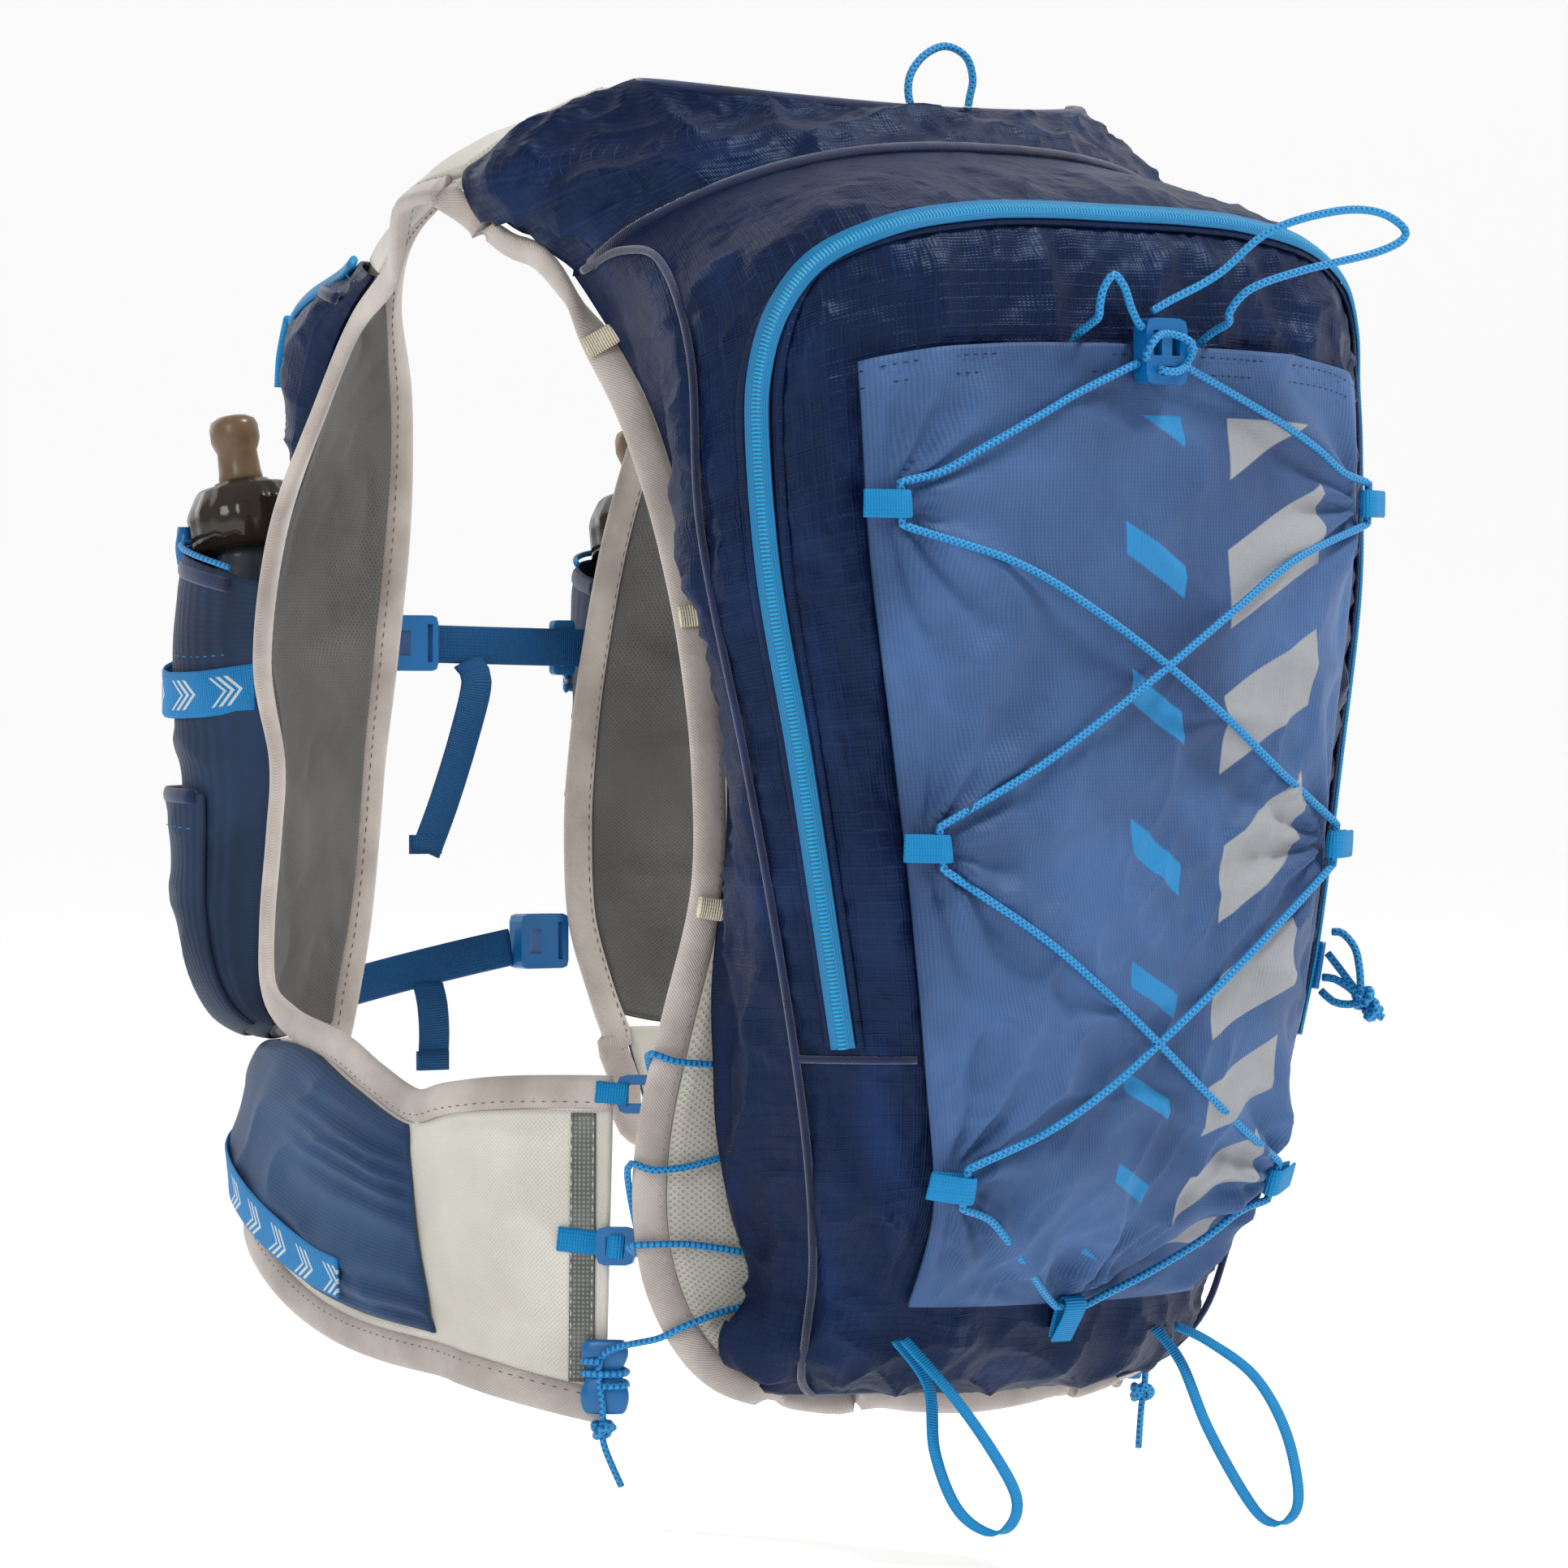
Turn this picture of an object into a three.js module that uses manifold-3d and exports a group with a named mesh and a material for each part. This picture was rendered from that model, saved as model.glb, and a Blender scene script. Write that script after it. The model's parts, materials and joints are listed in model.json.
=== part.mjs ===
// Running hydration vest, in millimetres. The wearer faces -Y, +X is the wearer's left and +Z is up.
// The origin lies midway between the shoulder straps, under their tops.

import * as THREE from "three";
import Module from "manifold-3d";
import { mergeVertices } from "three/addons/utils/BufferGeometryUtils.js";

// Overall sizes
const HALF_GIRTH = 155; // widest half width of the vest, at the side wings
const CHEST_REACH = 224; // from the shoulder line forward to the chest
const BACK_REACH = 72; // from the shoulder line back to the spine
const DROP = 475; // from the shoulder line down to the hem
const PACK_REACH = 166; // from the shoulder line back to the bag's rear face
const PACK_HALF = 150; // half width of the stuffed bag at its widest

// Cloth and padding
const GAP = 0.4; // clearance between sewn layers
const MESH_WALL = 2.4; // chest mesh wall
const WING_WALL = 2.2;
const STRAP_WALL = 4; // padded shoulder strap
const BACK_PAD = 5; // padded back panel
const BAG_WALL = 1.6;
const YOKE_WALL = 2.4;
const POCKET_WALL = 1.5;
const BINDING_WIDTH = 12;
const BINDING_THICK = 7;

// Pockets
const STRETCH_LIFT = 8; // how far the stretch pocket stands off the bag
const SHOULDER_POCKET_DEPTH = 24;
const BOTTLE_POCKET_DEPTH = 50;
const BOTTLE_POCKET_TAPER = 0.14; // share of that depth lost toward the pocket's foot
const LOWER_POCKET_LIFT = 4;
const WAIST_POCKET_DEPTH = 8;

// Webbing, cords and hardware
const CORD = 3; // bungee and haul cord diameter
const LACE = 2.6; // side lace diameter
const ZIP_WIDTH = 9;
const ZIP_THICK = 2;
const LASH_WIDTH = 10;
const LASH_LENGTH = 17;
const LASH_WALL = 1.2;
const STERNUM_WIDTH = 15;
const WEBBING = 1.6; // webbing thickness
const CHEVRON_WIDTH = 18;
const WAIST_CHEVRON_WIDTH = 16;
const AXE_WIDTH = 5.5;
const AXE_THICK = 1.2;
const BUCKLE_LENGTH = 24;
const BUCKLE_WIDTH = 22;
const BUCKLE_THICK = 8;
const SLIDER_LENGTH = 11;
const HOOK_WIDTH = 20;
const HOOK_HEIGHT = 24;
const HOOK_THICK = 7;
const CLEAT_WIDTH = 18;
const CLEAT_HEIGHT = 27;
const SIDE_SLIDER = 14;
const LACE_SLOT = 4.6; // room for the side lace under the bag's edge

// Soft flask, oval because the pocket presses it
const FLASK_RADIUS = 25;
const FLASK_FLATNESS = 0.8; // depth over width
const FLASK_LEAN = 14; // how much further out the mouth is than the base
const FLASK_WALL = 1.2;
const FLASK_SIDES = 10;
const CAP_RADIUS = 23;
const CAP_HEIGHT = 26;

// Front of the vest, from the shoulder down to the hem: shares of HALF_GIRTH, CHEST_REACH and DROP.
// Columns: x, y, z of the neck and hem edge, x, y, z of the armhole edge, and the outward bulge.
const FRONT_ROWS = [
  [0.68, 0.03, 0.025, 1.0, -0.15, -0.05, 0.02],
  [0.67, -0.18, 0.0, 1.01, -0.28, -0.065, 0.03],
  [0.63, -0.47, -0.04, 0.955, -0.34, -0.093, 0.03],
  [0.57, -0.705, -0.095, 0.89, -0.43, -0.116, 0.04],
  [0.45, -0.8, -0.165, 0.845, -0.59, -0.165, 0.05],
  [0.36, -0.86, -0.25, 0.82, -0.72, -0.25, 0.05],
  [0.32, -0.92, -0.37, 0.84, -0.84, -0.37, 0.05],
  [0.31, -0.97, -0.475, 0.81, -0.82, -0.475, 0.06],
  [0.31, -0.99, -0.545, 0.81, -0.82, -0.54, 0.06],
  [0.32, -1.0, -0.62, 0.84, -0.815, -0.62, 0.07],
  [0.37, -0.99, -0.685, 0.88, -0.77, -0.685, 0.1],
  [0.4, -0.985, -0.73, 0.915, -0.62, -0.722, 0.15],
];
const STRAP_END = 3; // row where the shoulder strap ends and the chest panel begins

// Waist band, from the middle of the chest round to the rear of the side wing: the same shares.
// Columns: x, y, z of the hem, x, y, z of the upper edge, and the outward bulge.
const WING_ROWS = [
  [0.48, -0.98, -0.79, 0.4, -0.99, -0.722, 0.0],
  [0.7, -0.93, -0.832, 0.62, -0.945, -0.72, 0.0],
  [0.885, -0.82, -0.862, 0.77, -0.83, -0.718, 0.01],
  [0.965, -0.69, -0.9, 0.86, -0.71, -0.714, 0.015],
  [0.985, -0.545, -0.935, 0.92, -0.59, -0.717, 0.015],
  [1.0, -0.38, -0.953, 0.96, -0.45, -0.742, 0.015],
  [1.0, -0.18, -0.962, 0.974, -0.295, -0.77, 0.015],
  [1.0, -0.1, -0.97, 0.968, -0.17, -0.76, 0.015],
  [0.925, -0.01, -0.984, 0.91, -0.03, -0.754, 0.015],
  [0.81, 0.075, -0.998, 0.81, 0.095, -0.752, 0.0],
];
const WAIST_SEAM = 6; // row where the waist pocket ends at its gathered seam

// Back panel, from the neckline down: shares of HALF_GIRTH, BACK_REACH and DROP.
// Columns: x, y, z of the armhole edge, and y, z of the spine.
const BACK_ROWS = [
  [0.865, -0.08, -0.14, 0.71, -0.006],
  [0.77, 0.24, -0.23, 0.86, -0.147],
  [0.72, 0.42, -0.31, 0.94, -0.263],
  [0.71, 0.6, -0.39, 0.99, -0.38],
  [0.73, 0.78, -0.49, 1.0, -0.49],
  [0.76, 0.85, -0.6, 1.0, -0.6],
  [0.82, 0.72, -0.716, 0.97, -0.706],
  [0.84, 0.6, -0.8, 0.96, -0.8],
  [0.81, 0.57, -0.884, 0.97, -0.884],
  [0.71, 0.69, -0.954, 0.985, -0.944],
  [0.54, 0.92, -0.98, 1.0, -0.98],
];
const BACK_FLATNESS = 2.2; // exponent of the back's cross-section

// Bag, from the yoke seam round the rear face to the bottom. Columns: the back panel row that the
// side edge is sewn to, its share of that row's width, y of the rear over PACK_REACH, z of the rear
// over DROP, half width over PACK_HALF, and squareness.
const BAG_ROWS = [
  [0.0, 0.94, 0.52, -0.027, 0.93, 2.5],
  [0.9, 0.93, 0.91, -0.085, 1.02, 3.8],
  [1.9, 0.93, 0.98, -0.19, 1.04, 3.8],
  [3.1, 0.93, 1.0, -0.337, 1.03, 3.4],
  [4.15, 0.93, 1.0, -0.484, 0.95, 3.2],
  [5.27, 0.94, 1.0, -0.632, 0.86, 3.2],
  [6.25, 0.86, 0.98, -0.741, 0.79, 3.0],
  [7.4, 0.78, 0.92, -0.825, 0.75, 3.0],
  [8.15, 0.75, 0.76, -0.905, 0.71, 2.8],
  [8.8, 0.9, 0.67, -0.96, 0.71, 2.8],
  [9.3, 0.91, 0.54, -0.98, 0.65, 2.5],
  [9.6, 0.9, 0.49, -0.982, 0.6, 2.3],
];
const SLOT_ROWS = [5.8, 8.6]; // bag rows under which the side laces pass

// Yoke, from the neckline to the shoulder edge. Columns: side x, y, z over HALF_GIRTH, CHEST_REACH
// and DROP, y of the back over PACK_REACH, z of the back over DROP, half width over PACK_HALF,
// and squareness.
const YOKE_ROWS = [
  [0.68, 0.045, 0.027, 0.34, 0.009, 0.7, 2.0],
  [1.0, -0.13, -0.048, 0.43, -0.006, 1.03, 2.1],
];

const wasm = await Module();
wasm.setup();
const vest = new THREE.Group();

// Materials
function cloth(color, roughness = 0.85, metalness = 0) {
  return new THREE.MeshStandardMaterial({ color, roughness, metalness });
}
const NAVY = cloth(0x26305a, 0.6);
const BLUE = cloth(0x426ca5, 0.75);
const DEEP_BLUE = cloth(0x2d4469, 0.75);
const MESH_WHITE = cloth(0xd7d4c8, 0.9);
const MESH_GREY = cloth(0x6e6c68, 0.9);
const TAUPE = cloth(0xb9afa8, 0.95);
const CYAN = cloth(0x199bde, 0.7);
const WEB_BLUE = cloth(0x0069be, 0.7);
const PLASTIC_BLUE = cloth(0x0066b8, 0.4);
const TAPE_GREY = cloth(0x6e706c, 0.5);
const SMOKE = cloth(0x4a4238, 0.2);
const CLEAR = cloth(0xb8bcc0, 0.25);

const UP = new THREE.Vector3(0, 0, 1);
const lerp = THREE.MathUtils.lerp;
const smoothstep = THREE.MathUtils.smoothstep;

function put(name, geometry, material) {
  const mesh = new THREE.Mesh(geometry, material);
  mesh.name = name;
  vest.add(mesh);
  return mesh;
}

// Indexed geometry whose faces point outwards
function closedBody(points, triangles) {
  let volume = 0;
  for (const [a, b, c] of triangles) {
    volume += points[a].dot(points[b].clone().cross(points[c]));
  }
  const order = volume > 0 ? triangles : triangles.map(([a, b, c]) => [a, c, b]);
  const geometry = new THREE.BufferGeometry().setFromPoints(points);
  geometry.setIndex(order.flat());
  return geometry;
}

function mirrored(geometry) {
  const copy = geometry.clone().applyMatrix4(new THREE.Matrix4().makeScale(-1, 1, 1));
  const index = copy.index ? Array.from(copy.index.array) : null;
  const order = index ?? [...Array(copy.getAttribute("position").count).keys()];
  for (let i = 0; i < order.length; i += 3) {
    [order[i + 1], order[i + 2]] = [order[i + 2], order[i + 1]];
  }
  copy.setIndex(order);
  return copy;
}

// A piece and its mirror image on the wearer's right
function putPair(name, geometry, material) {
  put(`${name}_left`, geometry, material);
  put(`${name}_right`, mirrored(geometry), material);
}

function toSolid(geometry) {
  const bare = geometry.clone();
  bare.deleteAttribute("normal");
  bare.deleteAttribute("uv");
  const merged = mergeVertices(bare, 1e-3);
  return new wasm.Manifold(
    new wasm.Mesh({
      numProp: 3,
      vertProperties: merged.getAttribute("position").array,
      triVerts: new Uint32Array(merged.index.array),
    }),
  );
}

function fromSolid(solid) {
  const mesh = solid.getMesh();
  const geometry = new THREE.BufferGeometry();
  geometry.setAttribute("position", new THREE.BufferAttribute(mesh.vertProperties, 3));
  geometry.setIndex(Array.from(mesh.triVerts));
  return geometry;
}

function joined(first, ...others) {
  return fromSolid(others.reduce((sum, g) => sum.add(toSolid(g)), toSolid(first)));
}

function cutOut(first, ...others) {
  return fromSolid(others.reduce((rest, g) => rest.subtract(toSolid(g)), toSolid(first)));
}

// Smooth value of every column of a table at share u of its rows
function blend(rows, u) {
  const place = THREE.MathUtils.clamp(u, 0, 1) * (rows.length - 1);
  const i = Math.min(Math.floor(place), rows.length - 2);
  const t = place - i;
  const before = rows[Math.max(i - 1, 0)];
  const after = rows[Math.min(i + 2, rows.length - 1)];
  return rows[i].map((p1, k) => {
    const p2 = rows[i + 1][k];
    const m1 = (p2 - before[k]) / 2;
    const m2 = (after[k] - p1) / 2;
    const t2 = t * t;
    const t3 = t2 * t;
    return (
      (2 * t3 - 3 * t2 + 1) * p1 + (t3 - 2 * t2 + t) * m1 + (3 * t2 - 2 * t3) * p2 + (t3 - t2) * m2
    );
  });
}

// A surface known on a grid of facets. Every layer sewn to it follows the same facets.
function facets(pointAt, rows, columns, inside) {
  const step = 1e-3;
  const grid = [];
  for (let i = 0; i <= rows; i++) {
    const line = [];
    for (let j = 0; j <= columns; j++) {
      const u = i / rows;
      const v = j / columns;
      const along = pointAt(Math.min(u + step, 1), v).sub(pointAt(Math.max(u - step, 0), v));
      const across = pointAt(u, Math.min(v + step, 1)).sub(pointAt(u, Math.max(v - step, 0)));
      const point = pointAt(u, v);
      const normal = along.cross(across).normalize();
      if (normal.dot(point.clone().sub(inside)) < 0) normal.negate();
      line.push({ point, normal });
    }
    grid.push(line);
  }
  const at = (u, v, lift = 0) => {
    const x = THREE.MathUtils.clamp(u, 0, 1) * rows;
    const y = THREE.MathUtils.clamp(v, 0, 1) * columns;
    const i = Math.min(Math.floor(x), rows - 1);
    const j = Math.min(Math.floor(y), columns - 1);
    const mix = (key) =>
      grid[i][j][key]
        .clone()
        .lerp(grid[i + 1][j][key], x - i)
        .lerp(grid[i][j + 1][key].clone().lerp(grid[i + 1][j + 1][key], x - i), y - j);
    return mix("point").addScaledVector(mix("normal"), lift);
  };
  const normalAt = (u, v) => at(u, v, 1).sub(at(u, v, 0)).normalize();
  return { at, normalAt, rows, columns };
}

// Grid lines of a surface between two shares, with both ends
function lines(from, to, count) {
  const list = [from];
  for (let i = 0; i <= count; i++) {
    const share = i / count;
    if (share > from + 1e-3 && share < to - 1e-3) list.push(share);
  }
  list.push(to);
  return list;
}

// A layer of cloth over part of a surface, between two lifts above it, which are functions of the
// shares s down and t across the layer. More lines across it can be named by their shares t.
function layer(surface, [u0, u1], [v0, v1], under, over, extra = []) {
  const us = lines(u0, u1, surface.rows);
  const more = extra.map((t) => lerp(v0, v1, t));
  const vs = [...new Set([...lines(v0, v1, surface.columns), ...more])].sort((a, b) => a - b);
  const points = [];
  for (const lift of [under, over]) {
    for (const u of us) {
      for (const v of vs) {
        const s = (u - u0) / (u1 - u0);
        const t = (v - v0) / (v1 - v0);
        points.push(surface.at(u, v, lift(s, t)));
      }
    }
  }
  const wide = vs.length;
  const top = us.length * wide;
  const triangles = [];
  const quad = (a, b, c, d) => triangles.push([a, b, c], [a, c, d]);
  for (let i = 0; i + 1 < us.length; i++) {
    for (let j = 0; j + 1 < wide; j++) {
      const a = i * wide + j;
      quad(a, a + 1, a + wide + 1, a + wide);
      quad(top + a, top + a + wide, top + a + wide + 1, top + a + 1);
    }
  }
  for (let j = 0; j + 1 < wide; j++) {
    const last = (us.length - 1) * wide + j;
    quad(j, top + j, top + j + 1, j + 1);
    quad(last, last + 1, top + last + 1, top + last);
  }
  for (let i = 0; i + 1 < us.length; i++) {
    const a = i * wide;
    const b = a + wide - 1;
    quad(a, a + wide, top + a + wide, top + a);
    quad(b, top + b, top + b + wide, b + wide);
  }
  return closedBody(points, triangles);
}

const flat = (lift) => () => lift;

// A body through a row of sections with equal numbers of points, with flat ends
function loft(sections) {
  const count = sections[0].length;
  const points = sections.flat();
  const triangles = [];
  for (let i = 0; i + 1 < sections.length; i++) {
    for (let j = 0; j < count; j++) {
      const a = i * count + j;
      const b = i * count + ((j + 1) % count);
      triangles.push([a, b, b + count], [a, b + count, a + count]);
    }
  }
  const end = (sections.length - 1) * count;
  for (let j = 1; j + 1 < count; j++) {
    triangles.push([0, j + 1, j], [end, end + j, end + j + 1]);
  }
  return closedBody(points, triangles);
}

// A band along stations { point, and its normal or its side }. It is flat, or oval with more corners.
function band(stations, width, thick, corners = 4) {
  const turn = corners === 4 ? Math.PI / 4 : 0;
  const stretch = corners === 4 ? Math.SQRT1_2 : 0.5;
  return loft(
    stations.map((station, i) => {
      const point = station.point;
      const before = stations[Math.max(i - 1, 0)].point;
      const after = stations[Math.min(i + 1, stations.length - 1)].point;
      const along = after.clone().sub(before).normalize();
      const given = station.side ?? along.clone().cross(station.normal);
      const normal = given.clone().cross(along).normalize();
      const side = along.clone().cross(normal).normalize();
      return Array.from({ length: corners }, (_, k) => {
        const angle = turn + (k / corners) * 2 * Math.PI;
        return point
          .clone()
          .addScaledVector(side, Math.cos(angle) * width * stretch)
          .addScaledVector(normal, Math.sin(angle) * thick * stretch);
      });
    }),
  );
}

function cordAlong(points, diameter, steps) {
  const path = new THREE.CatmullRomCurve3(points, false, "centripetal");
  const circle = new THREE.Shape();
  for (let k = 0; k < 8; k++) {
    const angle = (k / 8) * 2 * Math.PI;
    const x = (Math.cos(angle) * diameter) / 2;
    const y = (Math.sin(angle) * diameter) / 2;
    if (k === 0) circle.moveTo(x, y);
    else circle.lineTo(x, y);
  }
  return new THREE.ExtrudeGeometry(circle, { steps, extrudePath: path, bevelEnabled: false });
}

// A flat part drawn in its own plane, centred on its thickness
function plate(shape, thick) {
  const body = new THREE.ExtrudeGeometry(shape, { depth: thick, bevelEnabled: false, curveSegments: 2 });
  return body.translate(0, 0, -thick / 2);
}

// Sets a part's x, y and z along side, up and out at a point
function place(geometry, point, out, up) {
  const z = out.clone().normalize();
  const x = up.clone().cross(z).normalize();
  const y = z.clone().cross(x);
  const matrix = new THREE.Matrix4().makeBasis(x, y, z).setPosition(point);
  return geometry.applyMatrix4(matrix);
}

function roundedRect(width, height, radius) {
  const w = width / 2;
  const h = height / 2;
  const shape = new THREE.Shape();
  shape.moveTo(-w + radius, -h);
  shape.lineTo(w - radius, -h);
  shape.quadraticCurveTo(w, -h, w, -h + radius);
  shape.lineTo(w, h - radius);
  shape.quadraticCurveTo(w, h, w - radius, h);
  shape.lineTo(-w + radius, h);
  shape.quadraticCurveTo(-w, h, -w, h - radius);
  shape.lineTo(-w, -h + radius);
  shape.quadraticCurveTo(-w, -h, -w + radius, -h);
  return shape;
}

// A plate with a rounded outline and square holes { x, y, width, height }
function slotted(width, height, radius, thick, holes) {
  const tools = holes.map(([x, y, w, h]) => new THREE.BoxGeometry(w, h, 2 * thick).translate(x, y, 0));
  return cutOut(plate(roundedRect(width, height, radius), thick), ...tools);
}

// Surface through two edges with an outward bulge between them
function edgedSurface(table, rows, columns, inside) {
  const edges = (u) => {
    const [nx, ny, nz, ax, ay, az, bulge] = blend(table, u);
    return {
      neck: new THREE.Vector3(nx * HALF_GIRTH, ny * CHEST_REACH, nz * DROP),
      arm: new THREE.Vector3(ax * HALF_GIRTH, ay * CHEST_REACH, az * DROP),
      bulge: bulge * HALF_GIRTH,
    };
  };
  const pointAt = (u, v) => {
    const { neck, arm, bulge } = edges(u);
    const point = neck.clone().lerp(arm, v);
    const ahead = edges(Math.min(u + 0.02, 1));
    const behind = edges(Math.max(u - 0.02, 0));
    const along = ahead.neck.lerp(ahead.arm, 0.5).sub(behind.neck.lerp(behind.arm, 0.5));
    const out = along.cross(arm.clone().sub(neck)).normalize();
    if (out.dot(point.clone().sub(inside)) < 0) out.negate();
    return point.addScaledVector(out, bulge * 4 * v * (1 - v));
  };
  return facets(pointAt, rows, columns, inside);
}

const chestCore = new THREE.Vector3(0.5 * HALF_GIRTH, -0.35 * CHEST_REACH, -0.4 * DROP);
const front = edgedSurface(FRONT_ROWS, 12, 5, chestCore);
const wing = edgedSurface(WING_ROWS, 12, 4, chestCore);
const frontRow = (row) => row / (FRONT_ROWS.length - 1);
const wingRow = (row) => row / (WING_ROWS.length - 1);

function backPoint(u, v) {
  const [sx, sy, sz, by, bz] = blend(BACK_ROWS, u);
  const t = 1 - 2 * v;
  const fall = Math.abs(t) ** BACK_FLATNESS;
  return new THREE.Vector3(
    sx * HALF_GIRTH * t,
    lerp(by, sy, fall) * BACK_REACH,
    lerp(bz, sz, fall) * DROP,
  );
}
const back = facets(backPoint, 12, 10, new THREE.Vector3(0, -0.3 * CHEST_REACH, -0.4 * DROP));

// Unit arc from (1, 0) over (0, 1) to (-1, 0) that is squarer with a higher exponent
function squareArc(v, exponent) {
  const angle = Math.PI * v;
  const c = Math.cos(angle);
  const s = Math.abs(Math.sin(angle));
  const reach = (Math.abs(c) ** exponent + s ** exponent) ** (-1 / exponent);
  return [c * reach, s * reach];
}

function hoopPoint(side, backY, backZ, halfWidth, exponent, v) {
  const [c, s] = squareArc(v, exponent);
  const flare = smoothstep(s, 0, 0.5);
  return new THREE.Vector3(
    c * lerp(side.x, halfWidth, flare),
    lerp(side.y, backY, s),
    lerp(side.z, backZ, s ** 1.5),
  );
}

function bagPoint(u, v) {
  const [seat, share, y, z, wide, exponent] = blend(BAG_ROWS, u);
  const row = u * (BAG_ROWS.length - 1);
  const slot = smoothstep(row, SLOT_ROWS[0] - 1, SLOT_ROWS[0])
    * (1 - smoothstep(row, SLOT_ROWS[1], SLOT_ROWS[1] + 1));
  const lift = BACK_PAD + 4 * GAP + slot * LACE_SLOT;
  const side = back.at(seat / (BACK_ROWS.length - 1), (1 - share) / 2, lift);
  return hoopPoint(side, y * PACK_REACH, z * DROP, wide * PACK_HALF, exponent, v);
}
const bagCore = new THREE.Vector3(0, 0.5 * PACK_REACH, -0.5 * DROP);
const bag = facets(bagPoint, 16, 12, bagCore);
const bagRow = (row) => row / (BAG_ROWS.length - 1);

function yokePoint(u, v) {
  const seam = (1 - GAP / DROP) * u;
  const rows = YOKE_ROWS.map((row) => [
    row[0] * HALF_GIRTH,
    row[1] * CHEST_REACH,
    row[2] * DROP,
    row[3] * PACK_REACH,
    row[4] * DROP,
    row[5] * PACK_HALF,
    row[6],
  ]);
  const [seat, share, y, z, wide, exponent] = BAG_ROWS[0];
  const corner = back.at(seat, (1 - share) / 2, BACK_PAD + 2 * GAP);
  rows.push([corner.x, corner.y, corner.z, y * PACK_REACH, z * DROP, wide * PACK_HALF, exponent]);
  const [sx, sy, sz, by, bz, half, square] = blend(rows, seam);
  return hoopPoint(new THREE.Vector3(sx, sy, sz), by, bz, half, square, v);
}
const yoke = facets(yokePoint, 5, 12, bagCore);

// Shares of the surfaces that the cloth covers inside its bindings
const FRONT_SPAN = [0.12, 0.93];
const WING_SPAN = [0.06, 0.94];
const WING_START = 0.045;
const BACK_SPAN = [0.032, 0.968];
const BACK_END = 0.985;

// Stations of a binding beside the edge of a surface, on the side away from the cloth
function edgeStations(surface, edge, shares, wall) {
  const inward = edge < 0.5 ? 0.1 : -0.1;
  const at = (u) => surface.at(u, edge, wall / 2);
  return shares.map((u) => {
    const point = at(u);
    const along = at(u + 0.02).sub(at(u - 0.02)).normalize();
    const away = point.clone().sub(surface.at(u, edge + inward, wall / 2));
    away.addScaledVector(along, -away.dot(along)).normalize();
    point.addScaledVector(away, BINDING_WIDTH / 2 + 2 * GAP);
    return { point, normal: surface.normalAt(u, edge), away };
  });
}

const shares = (from, to, count) =>
  Array.from({ length: count }, (_, i) => lerp(from, to, i / (count - 1)));

// Pack body
put("back_panel", layer(back, [0, BACK_END], BACK_SPAN, flat(0), flat(BACK_PAD)), MESH_WHITE);
put("bag_shell", layer(bag, [0.004, 1], [0, 1], flat(0), flat(BAG_WALL)), NAVY);
put("yoke", layer(yoke, [0, 0.985], [0, 1], flat(0), flat(YOKE_WALL)), NAVY);

// Straps, chest and wings
const strapSpan = [frontRow(0.06), frontRow(STRAP_END)];
const chestSpan = [frontRow(STRAP_END + 0.02), frontRow(10.4)];
putPair("shoulder_strap", layer(front, strapSpan, FRONT_SPAN, flat(0), flat(STRAP_WALL)), MESH_WHITE);
putPair("front_panel", layer(front, chestSpan, FRONT_SPAN, flat(0), flat(MESH_WALL)), MESH_GREY);
putPair("side_wing", layer(wing, [WING_START, 1], WING_SPAN, flat(0), flat(WING_WALL)), MESH_WHITE);

// Bindings
const facetLines = (surface, from, to) =>
  shares(from, to, to - from + 1).map((k) => k / surface.rows);
const frontEdge = [0.03, ...facetLines(front, 1, front.rows - 1), 0.975];
const armholeStations = [
  ...edgeStations(front, FRONT_SPAN[1], frontEdge, MESH_WALL),
  ...edgeStations(wing, WING_SPAN[1], facetLines(wing, 6, wing.rows), WING_WALL),
];
const wingFront = [0.72, 0.3, WING_SPAN[0]].map((v, i) => {
  const point = wing.at(WING_START, v, WING_WALL / 2);
  const away = point.clone().sub(wing.at(1 / wing.rows, v, WING_WALL / 2)).normalize();
  if (i === 2) away.add(new THREE.Vector3(0, 0, -1));
  return { point: point.addScaledVector(away, BINDING_WIDTH / 2 + 3), normal: wing.normalAt(0, v) };
});
const hemStations = [
  ...edgeStations(front, FRONT_SPAN[0], frontEdge, MESH_WALL),
  ...wingFront,
  ...edgeStations(wing, WING_SPAN[0], facetLines(wing, 1, wing.rows), WING_WALL),
];
putPair("front_binding", band(armholeStations, BINDING_WIDTH, BINDING_THICK, 6), TAUPE);
putPair("hem_binding", band(hemStations, BINDING_WIDTH, BINDING_THICK, 6), TAUPE);
const yokeEdge = [0.62, 0.78, 0.92].map((u) => {
  const point = yoke.at(u, 0, 0);
  const away = point.clone().sub(yoke.at(u, 0.06, 0)).normalize();
  return { point: point.addScaledVector(away, BINDING_WIDTH / 2 + 4 * GAP), normal: yoke.normalAt(u, 0) };
});
const backSide = edgeStations(back, BACK_SPAN[0], facetLines(back, 1, back.rows - 1), BACK_PAD);
const bottom = [0.1, 0.2, 0.3, 0.4, 0.5].map((v) => {
  const point = back.at(BACK_END, v, BACK_PAD / 2);
  const away = point.clone().sub(back.at(BACK_END - 0.05, v, BACK_PAD / 2)).normalize();
  return { point: point.addScaledVector(away, BINDING_WIDTH / 2 + 6 * GAP), normal: back.normalAt(1, v) };
});
const halfBack = [...yokeEdge, ...backSide, ...bottom];
const flip = ({ point, normal }) => ({
  point: new THREE.Vector3(-point.x, point.y, point.z),
  normal: new THREE.Vector3(-normal.x, normal.y, normal.z),
});
const wholeBack = [...halfBack, ...halfBack.slice(0, -1).reverse().map(flip)];
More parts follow.
